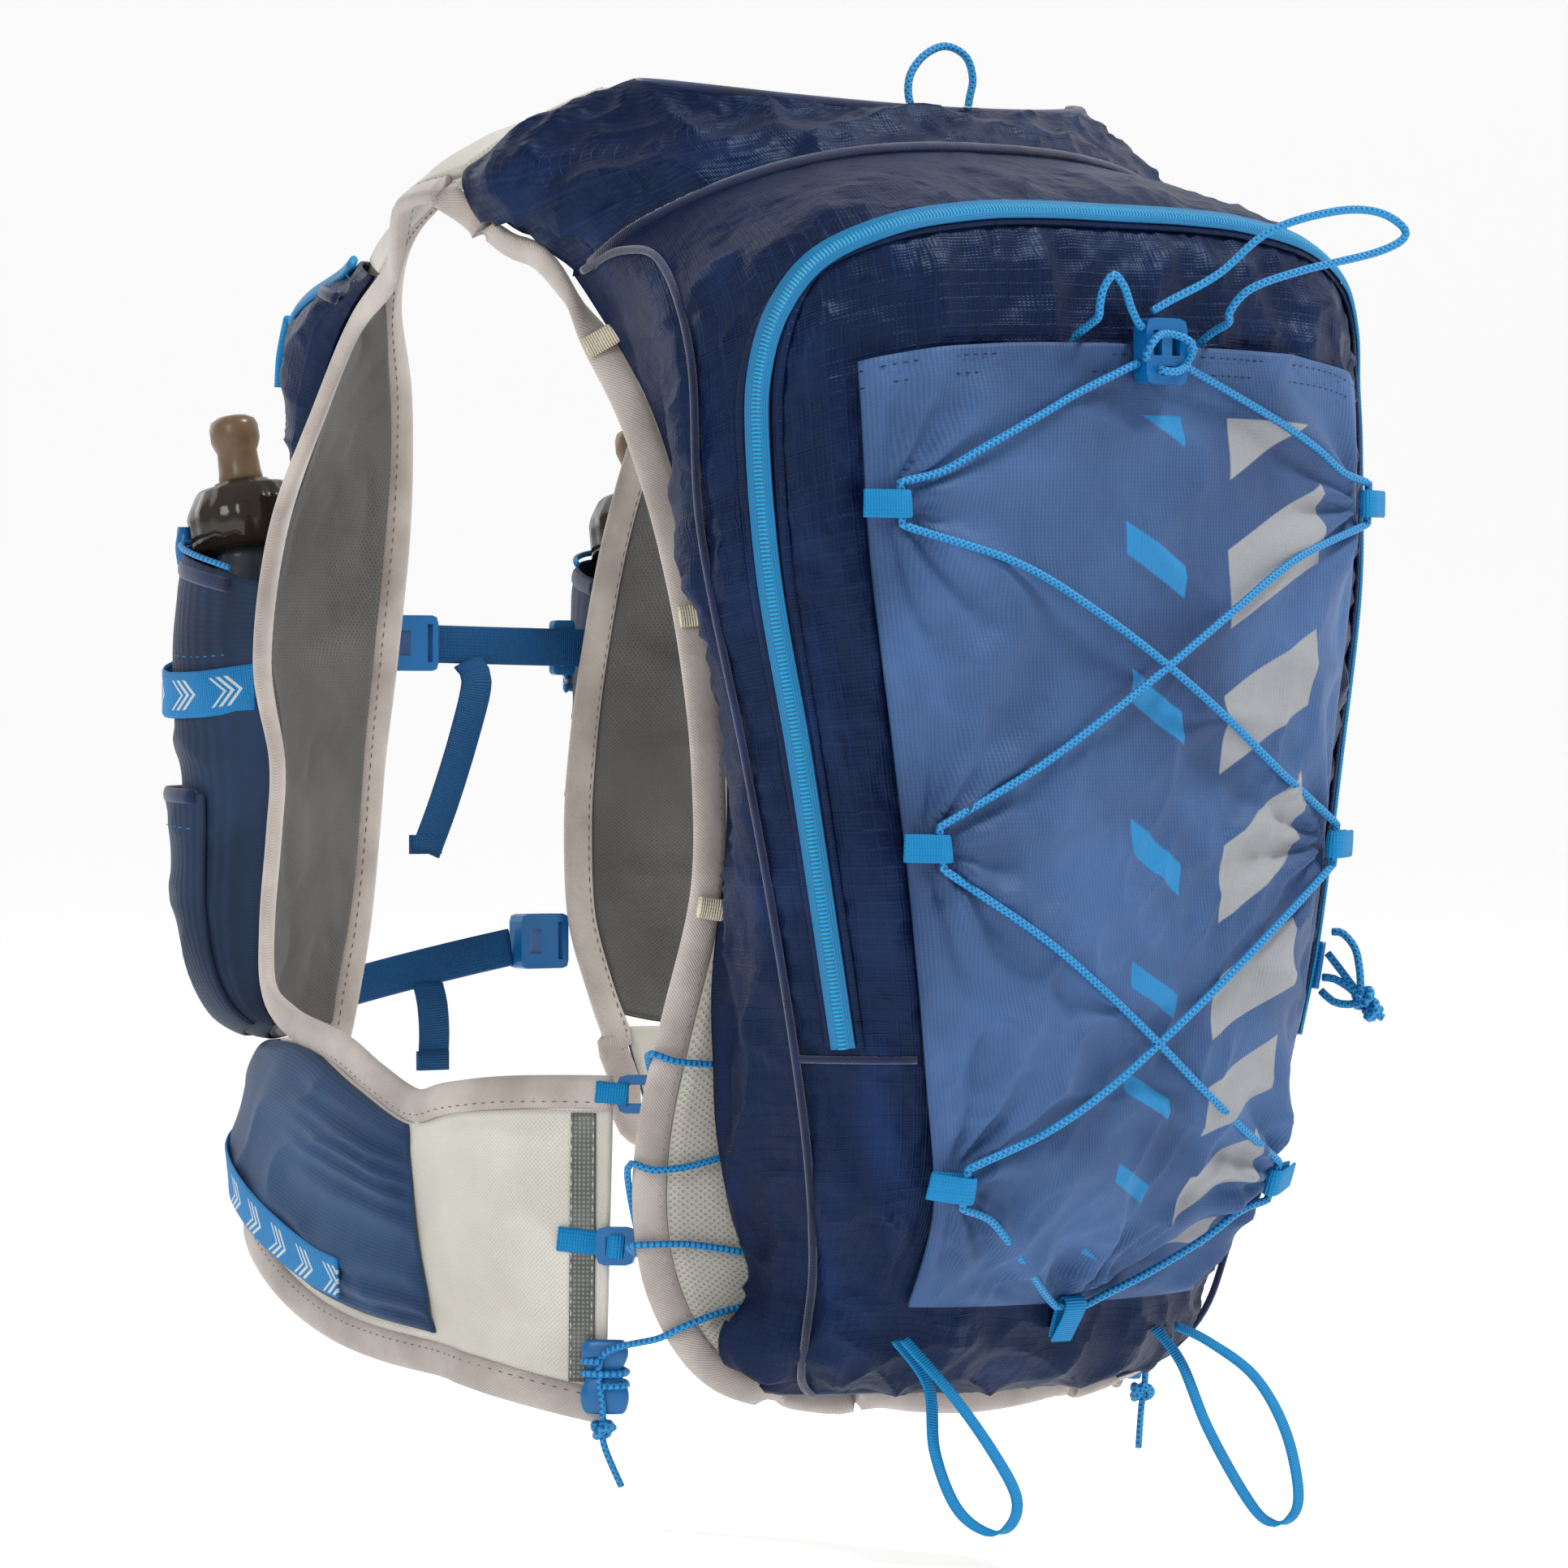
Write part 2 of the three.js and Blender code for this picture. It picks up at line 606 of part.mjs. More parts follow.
put("back_binding", band(wholeBack, BINDING_WIDTH, BINDING_THICK, 6), TAUPE);

// A pocket: a sheet that stands off its wall by a depth along it, with its sides sewn down
const STEEP = [0.05, 0.95]; // more lines where a pocket's sides stand up
function pocket(surface, span, sides, base, wall, depth, square, extra = []) {
  const halfWidth = surface.at(span[0], sides[0]).distanceTo(surface.at(span[0], sides[1])) / 2;
  const inner = 1 - wall / halfWidth;
  const arch = (q) => Math.sqrt(Math.max(0, 1 - q ** square));
  const over = (s, t) => base(s, t) + wall + depth(s) * arch(Math.abs(2 * t - 1));
  const under = (s, t) => base(s, t) + depth(s) * arch(Math.min(1, Math.abs(2 * t - 1) / inner));
  const geometry = layer(surface, span, sides, under, over, extra);
  const overAt = (u, v) => {
    const s = THREE.MathUtils.clamp((u - span[0]) / (span[1] - span[0]), 0, 1);
    const t = THREE.MathUtils.clamp((v - sides[0]) / (sides[1] - sides[0]), 0, 1);
    return over(s, t);
  };
  return { geometry, overAt };
}

const onBag = flat(BAG_WALL + GAP);
const stretch = pocket(
  bag,
  [bagRow(1.95), bagRow(8.1)],
  [0.276, 0.735],
  onBag,
  POCKET_WALL,
  (s) => STRETCH_LIFT * (1 - s ** 8),
  2,
);
put("stretch_pocket", stretch.geometry, BLUE);

const onChest = flat(MESH_WALL + GAP);
const shoulderPocket = pocket(
  front,
  [frontRow(3.1), frontRow(5.35)],
  [0.16, 0.89],
  flat(MESH_WALL + 2 * GAP),
  POCKET_WALL,
  (s) => SHOULDER_POCKET_DEPTH * (0.35 + 0.65 * Math.sin(Math.PI * Math.min(1, s + 0.12))) * (1 - s ** 6),
  3,
);
putPair("shoulder_pocket", shoulderPocket.geometry, NAVY);

const bottleSpan = [frontRow(6.05), frontRow(10.4)];
const bottle = pocket(
  front,
  bottleSpan,
  [0.14, 0.91],
  onChest,
  POCKET_WALL,
  (s) => BOTTLE_POCKET_DEPTH * (1 - s ** 5) ** 0.8 * (1 - BOTTLE_POCKET_TAPER * smoothstep(s, 0, 0.6)),
  3,
  STEEP,
);
putPair("bottle_pocket", bottle.geometry, DEEP_BLUE);

const lowerSpan = [frontRow(7.85), frontRow(10.3)];
const lowerLift = (u, v) => {
  const s = (u - lowerSpan[0]) / (lowerSpan[1] - lowerSpan[0]);
  return bottle.overAt(u, v) + 2 * GAP + LOWER_POCKET_LIFT * (1 - s) * (1 - (2 * v - 1) ** 4);
};
const lowerSides = [0.18, 0.87];
const lowerAt = (wall) => (s, t) =>
  lowerLift(lerp(...lowerSpan, s), lerp(...lowerSides, t)) + wall;
putPair(
  "lower_pocket",
  layer(front, lowerSpan, lowerSides, lowerAt(0), lowerAt(POCKET_WALL), STEEP),
  DEEP_BLUE,
);

const waist = pocket(
  wing,
  [wingRow(0.4), wingRow(WAIST_SEAM)],
  [0.1, 0.93],
  flat(WING_WALL + GAP),
  POCKET_WALL,
  (s) => WAIST_POCKET_DEPTH * (1 - (2 * s - 1) ** 6),
  4,
);
putPair("waist_pocket", waist.geometry, BLUE);

// Main zip, up one side of the bag, over the top and down the other.
// Columns: bag row, and share round the bag.
const ZIP_ROUTE = [
  [5.7, 0.205],
  [5, 0.203],
  [4, 0.202],
  [3, 0.204],
  [2.2, 0.207],
  [1.75, 0.214],
  [1.4, 0.23],
  [1.17, 0.26],
  [1.07, 0.31],
  [1.02, 0.37],
  [1.0, 0.43],
  [1.0, 0.5],
];
const zipHalf = ZIP_ROUTE.map(([row, v]) => new THREE.Vector3(bagRow(row), v, 0));
const zipRest = zipHalf.slice(0, -1).reverse().map((p) => new THREE.Vector3(p.x, 1 - p.y, 0));
const zipCurve = new THREE.CatmullRomCurve3([...zipHalf, ...zipRest]);
const ZIP_LIFT = BAG_WALL + GAP + ZIP_THICK / 2 + 2.7; // clear of the bag's corners
const zipStations = shares(0, 1, 46).map((t) => {
  const { x, y } = zipCurve.getPoint(t);
  return { point: bag.at(x, y, ZIP_LIFT), normal: bag.normalAt(x, y) };
});
put("main_zipper", band(zipStations, ZIP_WIDTH, ZIP_THICK), CYAN);

// Lash loops on the pocket's side seams. Columns: bag row, and share round the bag.
const LASH_THICK = CORD + 2 * LASH_WALL + 2.5 * GAP;
const LASH_PLACES = [
  [2.72, 0.285],
  [2.65, 0.725],
  [4.5, 0.288],
  [4.5, 0.72],
  [6.8, 0.298],
  [6.85, 0.71],
  [8.2, 0.5],
];
function lashRing() {
  const eye = [0, 0, LASH_LENGTH - 2 * LASH_WALL - 1, CORD + 2.5 * GAP];
  return slotted(LASH_LENGTH, LASH_THICK, LASH_THICK / 2 - 0.01, LASH_WIDTH, [eye]).rotateX(Math.PI / 2);
}
const lashes = LASH_PLACES.map(([row, v], i) => {
  const u = bagRow(row);
  const isFoot = i === LASH_PLACES.length - 1;
  const out = bag.normalAt(u, v);
  const down = bag.at(u + 0.02, v).sub(bag.at(u - 0.02, v)).normalize();
  const inward = new THREE.Vector3(v < 0.5 ? -1 : 1, 0, 0);
  inward.addScaledVector(out, -inward.dot(out)).normalize();
  const run = isFoot ? new THREE.Vector3(-1, 0, 0) : down; // the way the cord passes through the loop
  const reach = isFoot ? down.clone().negate() : inward; // from the seam to the loop's eye
  const lift = stretch.overAt(u, v + (v < 0.5 ? 0.03 : -0.03)) + GAP + LASH_THICK / 2 + 1;
  const centre = bag.at(u, v, lift);
  const axis = isFoot ? reach : run.clone().negate();
  const ring = isFoot
    ? place(lashRing(), centre, out, inward.set(1, 0, 0))
    : place(lashRing(), centre, out, axis);
  put(`lash_loop_${i + 1}`, ring, CYAN);
  const eye = centre.clone().addScaledVector(reach, LASH_LENGTH / 2 - LASH_WALL - CORD / 2 - 0.5 - GAP);
  return { u, v, eye, run, out, lift };
});

// Cord hook on the pocket's top hem
const hookSeat = { u: bagRow(2.0), v: 0.5 };
const hookLift = stretch.overAt(hookSeat.u, hookSeat.v) + GAP + HOOK_THICK / 2 + 2;
const hookPoint = bag.at(hookSeat.u, hookSeat.v, hookLift);
const HOOK_SLOTS = [
  [-4.5, 3, 4, 9],
  [4.5, 3, 4, 9],
  [0, -7, 6, 3.5],
];
const hook = slotted(HOOK_WIDTH, HOOK_HEIGHT, 4, HOOK_THICK, HOOK_SLOTS);
const hookOut = new THREE.Vector3(0, 1, 0);
put("cord_hook", place(hook, hookPoint.clone(), hookOut, UP), PLASTIC_BLUE);

// Bungee lace from one side of the hook through the loops and back to its other side.
// Columns: lash loop, 1 when the cord runs down through it, and the lift where strands cross.
const LACE_ORDER = [
  [lashes[0], 1, 0],
  [lashes[3], 1, 1],
  [lashes[4], 1, 0],
  [lashes[6], 1, 0],
  [lashes[5], 0, 0],
  [lashes[2], 0, 0],
  [lashes[1], 0, 1],
];
const OVER = CORD + 2 * GAP;
const besideHook = (side) =>
  hookPoint.clone().add(new THREE.Vector3(side * (HOOK_WIDTH / 2 + 2 * GAP), 0, -HOOK_HEIGHT / 5));
function strand(from, to, over) {
  return [0.2, 0.45, 0.55, 0.8].map((t) => {
    const u = lerp(from.u, to.u, t);
    const v = lerp(from.v, to.v, t);
    const crossing = over * OVER * (1 - smoothstep(Math.abs(t - 0.5), 0.05, 0.3));
    const rest = stretch.overAt(u, v) + CORD / 2 + 2 * GAP + 2;
    return { point: bag.at(u, v, rest + crossing), normal: bag.normalAt(u, v) };
  });
}
const EYE_TURN = LASH_WIDTH / 2 + 2.5; // where the cord bends above and below a loop
const laceStations = [{ point: besideHook(1), normal: hookOut }];
let last = { u: hookSeat.u + 0.01, v: hookSeat.v - 0.04 };
for (const [lash, isDown, over] of LACE_ORDER) {
  const sense = isDown ? 1 : -1;
  laceStations.push(...strand(last, lash, over));
  for (const step of [-EYE_TURN, -EYE_TURN / 1.4, EYE_TURN / 1.4, EYE_TURN]) {
    const point = lash.eye.clone().addScaledVector(lash.run, step * sense);
    laceStations.push({ point, normal: lash.out });
  }
  last = lash;
}
laceStations.push(...strand(last, { u: hookSeat.u + 0.01, v: hookSeat.v + 0.04 }, 0).slice(0, -1));
laceStations.push({ point: besideHook(-1), normal: hookOut });
put("bungee_lace", band(laceStations, CORD, CORD, 8), CYAN);

// Chevron webbing round the bottle pocket, and along the hem of the waist pocket. Each follows
// the lines of its pocket's facets.
const STRAP_STANDOFF = 3; // how far the bottle strap stands off its pocket
function acrossPocket(surface, pocketAt, u, v, du, dv) {
  const upper = surface.at(u - du, v - dv, pocketAt(u - du, v - dv));
  const lower = surface.at(u + du, v + dv, pocketAt(u + du, v + dv));
  const side = upper.clone().sub(lower).normalize();
  return { middle: upper.lerp(lower, 0.5), side };
}
const bottleStrapRow = frontRow(6.6);
const bottleStrap = [0.178, 0.2, 0.3, 0.4, 0.5, 0.6, 0.7, 0.8, 0.872].map((v) => {
  const { middle, side } = acrossPocket(front, bottle.overAt, bottleStrapRow, v, 0.016, 0);
  const out = front.normalAt(bottleStrapRow, v);
  return { point: middle.addScaledVector(out, STRAP_STANDOFF + WEBBING / 2), side };
});
putPair("bottle_strap", band(bottleStrap, CHEVRON_WIDTH, WEBBING), CYAN);
const WAIST_STRAP_PLACE = 0.22; // share up the waist band
const waistStrap = facetLines(wing, 1, 6).map((u) => {
  const { middle, side } = acrossPocket(wing, waist.overAt, u, WAIST_STRAP_PLACE, 0, 0.1);
  return { point: middle.addScaledVector(wing.normalAt(u, WAIST_STRAP_PLACE), WEBBING / 2 + 4 * GAP), side };
});
putPair("waist_strap", band(waistStrap, WAIST_CHEVRON_WIDTH, WEBBING), CYAN);

// Soft flask that leans in the bottle pocket. Columns: front row, share of the flask's radius, and
// how far its middle has moved out from the chest, as a share of FLASK_LEAN.
const FLASK_RINGS = [
  [9.4, 0.3, -0.7],
  [9.1, 0.62, -0.45],
  [8.4, 0.88, -0.1],
  [7.4, 1.0, 0.1],
  [6.6, 0.92, 0.4],
  [6.1, 0.75, 0.75],
  [5.8, 0.6, 1.0],
];
const FLASK_SEAT = MESH_WALL + 2 * GAP + FLASK_RADIUS * FLASK_FLATNESS;
const flaskMiddle = (row, out) => front.at(frontRow(row), 0.5, FLASK_SEAT + FLASK_LEAN * out);
function flaskRing([row, share, out], inset) {
  const middle = flaskMiddle(row, out);
  const wide = front.at(frontRow(row), 0.6).sub(front.at(frontRow(row), 0.4)).normalize();
  const deep = wide.clone().cross(UP).normalize();
  const radius = share * FLASK_RADIUS - inset;
  return Array.from({ length: FLASK_SIDES }, (_, k) => {
    const angle = (k / FLASK_SIDES) * 2 * Math.PI;
    return middle
      .clone()
      .addScaledVector(wide, Math.cos(angle) * radius)
      .addScaledVector(deep, Math.sin(angle) * radius * lerp(FLASK_FLATNESS, 1, (1 - share) * 2));
  });
}
const flaskOutside = FLASK_RINGS.map((ring) => flaskRing(ring, 0));
const flaskInside = FLASK_RINGS.slice(1).map((ring) => flaskRing(ring, FLASK_WALL));
putPair("flask", loft([...flaskOutside, ...flaskInside.reverse()]), CLEAR);

// Its cap and bite valve. Columns: share of the cap's radius, and height over CAP_HEIGHT.
const CAP_PROFILE = [
  [0, 0],
  [1, 0],
  [1, 0.62],
  [0.82, 0.9],
  [0.46, 1],
  [0.4, 1.5],
  [0.47, 1.65],
  [0.43, 1.95],
  [0.28, 2.05],
  [0, 2.05],
];
const capTurn = new THREE.Vector3(0.04, -0.18, 0.98).normalize();
const capLift = GAP + FLASK_RADIUS * FLASK_RINGS.at(-1)[1] * 0.2;
const capSeat = flaskMiddle(...FLASK_RINGS.at(-1).filter((_, i) => i !== 1)).addScaledVector(capTurn, capLift);
const capPoints = CAP_PROFILE.map(([r, y]) => new THREE.Vector2(r * CAP_RADIUS, y * CAP_HEIGHT));
const cap = new THREE.LatheGeometry(capPoints, FLASK_SIDES);
cap.applyQuaternion(new THREE.Quaternion().setFromUnitVectors(UP.clone().set(0, 1, 0), capTurn));
putPair("flask_cap", cap.translate(capSeat.x, capSeat.y, capSeat.z), SMOKE);

// Sternum straps in front of the chest bindings, each with a tail that hangs from it
const STRAP_LIFT = BINDING_THICK / 2 + 2 * GAP + BUCKLE_THICK / 2;
const STRAP_BOW = 4; // how far a strap's middle bows forward
const CHEST_FORWARD = new THREE.Vector3(0, -1, 0);
function bindingFace(z) {
  const below = hemStations.findIndex(({ point }) => point.z < z);
  const [upper, lower] = [hemStations[below - 1].point, hemStations[below].point];
  return lerp(upper.y, lower.y, (z - upper.z) / (lower.z - upper.z)) - STRAP_LIFT;
}
const acrossChest = (share) => share * HALF_GIRTH;
const UPPER = {
  buckleX: acrossChest(0.232),
  endX: acrossChest(-0.361),
  tailX: acrossChest(0.026),
  z: -0.402 * DROP,
  endZ: -0.405 * DROP,
};
const LOWER = {
  buckleX: acrossChest(-0.258),
  endX: acrossChest(0.387),
  tailX: acrossChest(0.09),
  z: -0.653 * DROP,
  endZ: -0.69 * DROP,
};
function onStrap(spec, x) {
  const t = (x - spec.buckleX) / (spec.endX - spec.buckleX);
  const z = lerp(spec.z, spec.endZ, t);
  return new THREE.Vector3(x, bindingFace(z) - STRAP_BOW * 4 * t * (1 - t), z);
}
function sternumStrap(name, spec, tailOffsets) {
  const toward = Math.sign(spec.endX - spec.buckleX);
  const slant = (STERNUM_WIDTH / 2) * Math.abs((spec.endZ - spec.z) / (spec.endX - spec.buckleX));
  const from = spec.buckleX + toward * (BUCKLE_LENGTH / 2 + GAP + slant);
  const path = shares(from, spec.endX, 7).map((x) => ({
    point: onStrap(spec, x),
    normal: CHEST_FORWARD,
  }));
  const foot = onStrap(spec, spec.tailX).add(new THREE.Vector3(0, 0, 1 - STERNUM_WIDTH / 2));
  const tail = tailOffsets.map((p) => ({
    point: foot.clone().add(new THREE.Vector3(...p)),
    side: new THREE.Vector3(1, 0, -0.05),
  }));
  const webbing = joined(band(path, STERNUM_WIDTH, WEBBING), band(tail, STERNUM_WIDTH, WEBBING));
  put(name, webbing, WEB_BLUE);
  const buckle = slotted(BUCKLE_LENGTH, BUCKLE_WIDTH, 3, BUCKLE_THICK, [
    [-BUCKLE_LENGTH * 0.33, 0, 2.6, STERNUM_WIDTH],
    [BUCKLE_LENGTH * 0.2, 0, BUCKLE_LENGTH * 0.25, BUCKLE_WIDTH * 0.45],
  ]);
  const seat = onStrap(spec, spec.buckleX);
  put(name.replace("strap", "buckle"), place(buckle, seat, CHEST_FORWARD, UP), PLASTIC_BLUE);
}
const UPPER_TAIL = [
  [0, 0, 0],
  [-2, 4, -8],
  [2, 1, -30],
  [9, -3, -56],
  [16, -6, -76],
];
const LOWER_TAIL = [
  [0, 0, 0],
  [0, 3, -8],
  [-1, 3, -20],
  [-1, 2, -34],
];
sternumStrap("sternum_strap_upper", UPPER, UPPER_TAIL);
sternumStrap("sternum_strap_lower", LOWER, LOWER_TAIL);
const SLIDER_THICK = 3;
const sliderSeat = onStrap(UPPER, acrossChest(-0.297));
sliderSeat.y -= WEBBING / 2 + 2 * GAP + SLIDER_THICK / 2 + 0.5;
const sliderHole = [0, 0, SLIDER_LENGTH * 0.35, STERNUM_WIDTH];
const slider = slotted(SLIDER_LENGTH, BUCKLE_WIDTH, 2, SLIDER_THICK, [sliderHole]);
put("sternum_slider_upper", place(slider, sliderSeat, CHEST_FORWARD, UP), PLASTIC_BLUE);

// Haul loop at the neckline. Points: offsets from the middle of its feet.
const offsetFrom = (base, list) => list.map((p) => base.clone().add(new THREE.Vector3(...p)));
const HAUL_ROUTE = [
  [16, 0, 0],
  [16.5, -1, 6],
  [14, -2, 13],
  [7, -2, 20],
  [-3, -2, 23.5],
  [-12, -1, 20],
  [-14.5, 0, 12],
  [-13, 0, 5],
  [-12, 0, 0],
];
const haulFeet = yoke.at(0.14, 0.5, YOKE_WALL + GAP + 0.4);
put("haul_loop", cordAlong(offsetFrom(haulFeet, HAUL_ROUTE), CORD, 16), CYAN);

// Narrow webbing loops under the stretch pocket. Points: offsets from the loop's foot.
const AXE_ROUTE_LEFT = [
  [0, 0, 0],
  [-5, 12, -16],
  [-2, 19, -39],
  [-7, 25, -59],
  [-17, 30, -68],
  [-25, 34, -66],
  [-28, 34, -56],
  [-19, 31, -39],
  [-8, 22, -19],
  [3, 8, 1],
];
const AXE_ROUTE_RIGHT = [
  [0, 0, 0],
  [-6, 8, -13],
  [-12, 16, -37],
  [-25, 22, -62],
  [-33, 26, -72],
  [-41, 30, -71],
  [-43, 32, -61],
  [-38, 30, -38],
  [-28, 24, -18],
  [-14, 14, -5],
  [-3, 8, 1],
];
function axeLoop(name, route, v) {
  const foot = bag.at(bagRow(8.55), v, BAG_WALL + GAP + AXE_THICK + 0.6);
  const side = new THREE.Vector3(1, 0.12, 0);
  const stations = offsetFrom(foot, route).map((point) => ({ point, side }));
  put(name, band(stations, AXE_WIDTH, AXE_THICK), CYAN);
}
axeLoop("axe_loop_left", AXE_ROUTE_LEFT, 0.3);
axeLoop("axe_loop_right", AXE_ROUTE_RIGHT, 0.655);

// Free loop of the bungee above the hook, and the small braided loop at the hem.
// Points: offsets from the top of the hook.
const TOP_LOOP_ROUTE = [
  [5, 1, 0],
  [-2, 3, 4],
  [-21, 8, 14],
  [-41, 14, 30],
  [-68, 20, 38],
  [-87, 24, 38],
  [-98, 26, 31],
  [-86, 25, 24],
  [-52, 20, 16],
  [-32, 14, 9],
  [-27, 8, 1],
  [-30, 4, -3],
  [-31, -5, -6],
  [-31, -12, -10],
  [-31, -13, -15],
  [-31, -13, -22],
];
const HEM_LOOP_ROUTE = [
  [31, -13, -22],
  [31, -13, -15],
  [31, -12, -10],
  [31, -5, -6],
  [32, 2, -3],
  [34, 5, 1],
  [34, 7, 7],
  [30, 8, 12],
  [25, 8, 8],
  [19, 5, 1],
  [14, 3, -4],
  [10.8, 2, -6],
];
const hookTop = hookPoint.clone().add(new THREE.Vector3(0, 0, HOOK_HEIGHT / 2 + GAP + CORD / 2));
put("bungee_top_loop", cordAlong(offsetFrom(hookTop, TOP_LOOP_ROUTE), CORD, 36), CYAN);
put("hem_loop", cordAlong(offsetFrom(hookTop, HEM_LOOP_ROUTE), CORD, 20), CYAN);

// Cord pull at the right end of the zip, down to its knot and tail. Points: offsets from the zip's end.
const PULL_ROUTE = [
  [-3, 2.5, 13],
  [-5, 6, 12.5],
  [-7, 10.5, 7],
  [-7.5, 12.5, -1],
  [-7.5, 13.5, -9],
  [-9, 16, -15],
  [-12, 20.5, -19],
];
const zipEnd = bag.at(bagRow(5.2), 0.8, ZIP_LIFT + ZIP_THICK / 2 + CORD / 2 + GAP);
put("zip_pull_cord", cordAlong(offsetFrom(zipEnd, PULL_ROUTE), CORD, 18), CYAN);

// Sliders and cleat at the rear of the wing
const SIDE_THICK = 4;
const topEnd = edgeStations(wing, WING_SPAN[1], [1], WING_WALL)[0].point;
const hemEnd = edgeStations(wing, WING_SPAN[0], [1], WING_WALL)[0].point;
const rearward = wing.at(1, 0.5).sub(wing.at(0.97, 0.5)).normalize();
const wingOut = wing.normalAt(0.98, 0.5);
const behind = (point, reach) => point.clone().addScaledVector(rearward, reach);
const sideHole = [0, 0, SIDE_SLIDER / 2, SIDE_SLIDER / 2];
const sideSlider = () => slotted(SIDE_SLIDER, SIDE_SLIDER, 3, SIDE_THICK, [sideHole]);
const sliderTop = behind(topEnd, SIDE_SLIDER / 2 + GAP + 2);
const sliderLow = behind(wing.at(1, 0.52, WING_WALL + SIDE_THICK), SIDE_SLIDER / 4);
putPair("side_slider_top", place(sideSlider(), sliderTop, wingOut, UP), PLASTIC_BLUE);
putPair("side_slider_low", place(sideSlider(), sliderLow, wingOut, UP), PLASTIC_BLUE);
const cleatLift = BINDING_THICK / 2 + SIDE_THICK / 2 + 3 * GAP;
const cleat = behind(hemEnd, 2).addScaledVector(wingOut, cleatLift).add(new THREE.Vector3(0, 0, 12));
const cleatHole = [0, 5, CLEAT_WIDTH * 0.45, 6];
const cleatBody = slotted(CLEAT_WIDTH, CLEAT_HEIGHT, 3, SIDE_THICK, [cleatHole]);
putPair("side_cleat", place(cleatBody, cleat, wingOut, UP), PLASTIC_BLUE);

// Lace from the top slider, behind the back binding and under the bag's edge, out to the lower
// slider, in and out once more, and over the cleat to its free end
const onBack = (row, share, more = 0) => {
  const lift = BACK_PAD + GAP + LACE / 2 + 0.8 + more;
  return back.at(row / (BACK_ROWS.length - 1), (1 - share) / 2, lift);
};
function roundBinding(row, outward) {
  const [edge] = edgeStations(back, BACK_SPAN[0], [row / (BACK_ROWS.length - 1)], BACK_PAD);
  const tip = BINDING_WIDTH / 2 + LACE / 2 + 1.6;
  const face = BINDING_THICK / 2 + LACE / 2 + 1.6;
  const atTip = edge.point.clone().addScaledVector(edge.away, tip).addScaledVector(edge.normal, 1);
  const onFace = edge.point.clone().addScaledVector(edge.normal, face);
  return outward ? [onFace, atTip] : [atTip, onFace];
}
const nearSlider = (centre) => behind(centre, SIDE_SLIDER / 2 + GAP + LACE / 2);
const overCleat = (down) =>
  cleat
    .clone()
    .addScaledVector(wingOut, SIDE_THICK / 2 + GAP + LACE / 2 + 0.8)
    .add(new THREE.Vector3(0, 0, -down));
const laceRoute = [
  nearSlider(sliderTop),
  ...roundBinding(6.12, false),
  onBack(6.15, 0.86, 0.6),
  onBack(6.2, 0.7),
  onBack(6.5, 0.62),
  onBack(6.85, 0.68),
  onBack(7.05, 0.86, 0.6),
  ...roundBinding(7.1, true),
  nearSlider(sliderLow).add(new THREE.Vector3(0, 0, 2)),
  nearSlider(sliderLow).add(new THREE.Vector3(0, 0, -2)),
  ...roundBinding(7.75, false),
  onBack(7.8, 0.86, 0.6),
  onBack(8.0, 0.62),
  onBack(8.25, 0.58),
  onBack(8.4, 0.72),
  onBack(8.5, 0.86, 0.6),
  ...roundBinding(8.55, true),
  overCleat(-8),
  overCleat(12),
  cleat.clone().addScaledVector(wingOut, 3).add(new THREE.Vector3(0, 0, -24)),
  cleat.clone().add(new THREE.Vector3(-3, 6, -40)),
];
putPair("side_lace", cordAlong(laceRoute, LACE, 42), CYAN);

export default vest;
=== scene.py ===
"""Running hydration vest, dressed over its CAD frame. Blender works in metres, the tables in mm."""

import json
import math
from functools import lru_cache

import bpy
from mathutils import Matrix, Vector, noise
from mathutils.kdtree import KDTree

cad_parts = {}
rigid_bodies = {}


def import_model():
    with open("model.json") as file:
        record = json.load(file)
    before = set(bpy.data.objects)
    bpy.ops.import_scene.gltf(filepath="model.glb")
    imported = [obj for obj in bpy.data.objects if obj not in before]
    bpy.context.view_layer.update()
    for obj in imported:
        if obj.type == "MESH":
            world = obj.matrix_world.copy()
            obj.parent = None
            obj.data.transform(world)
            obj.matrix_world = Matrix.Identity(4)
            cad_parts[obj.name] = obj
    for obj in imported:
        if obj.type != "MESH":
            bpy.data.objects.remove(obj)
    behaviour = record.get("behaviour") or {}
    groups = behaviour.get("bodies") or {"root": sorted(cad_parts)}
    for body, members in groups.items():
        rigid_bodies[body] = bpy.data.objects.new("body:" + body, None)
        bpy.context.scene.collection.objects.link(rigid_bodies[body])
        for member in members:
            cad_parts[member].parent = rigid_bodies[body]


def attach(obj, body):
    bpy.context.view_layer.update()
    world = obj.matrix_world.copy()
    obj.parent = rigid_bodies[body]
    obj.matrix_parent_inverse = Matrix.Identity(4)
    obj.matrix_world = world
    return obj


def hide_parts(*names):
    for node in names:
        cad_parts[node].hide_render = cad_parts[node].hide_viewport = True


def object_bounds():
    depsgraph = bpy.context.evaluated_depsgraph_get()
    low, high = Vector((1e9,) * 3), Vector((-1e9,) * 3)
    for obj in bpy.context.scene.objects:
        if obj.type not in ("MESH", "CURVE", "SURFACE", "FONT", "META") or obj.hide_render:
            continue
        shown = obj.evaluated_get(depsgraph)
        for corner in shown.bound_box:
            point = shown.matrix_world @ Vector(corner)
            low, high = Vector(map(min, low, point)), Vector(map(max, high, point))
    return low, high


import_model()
cad_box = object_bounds()

MM = 0.001
UP = Vector((0, 0, 1))

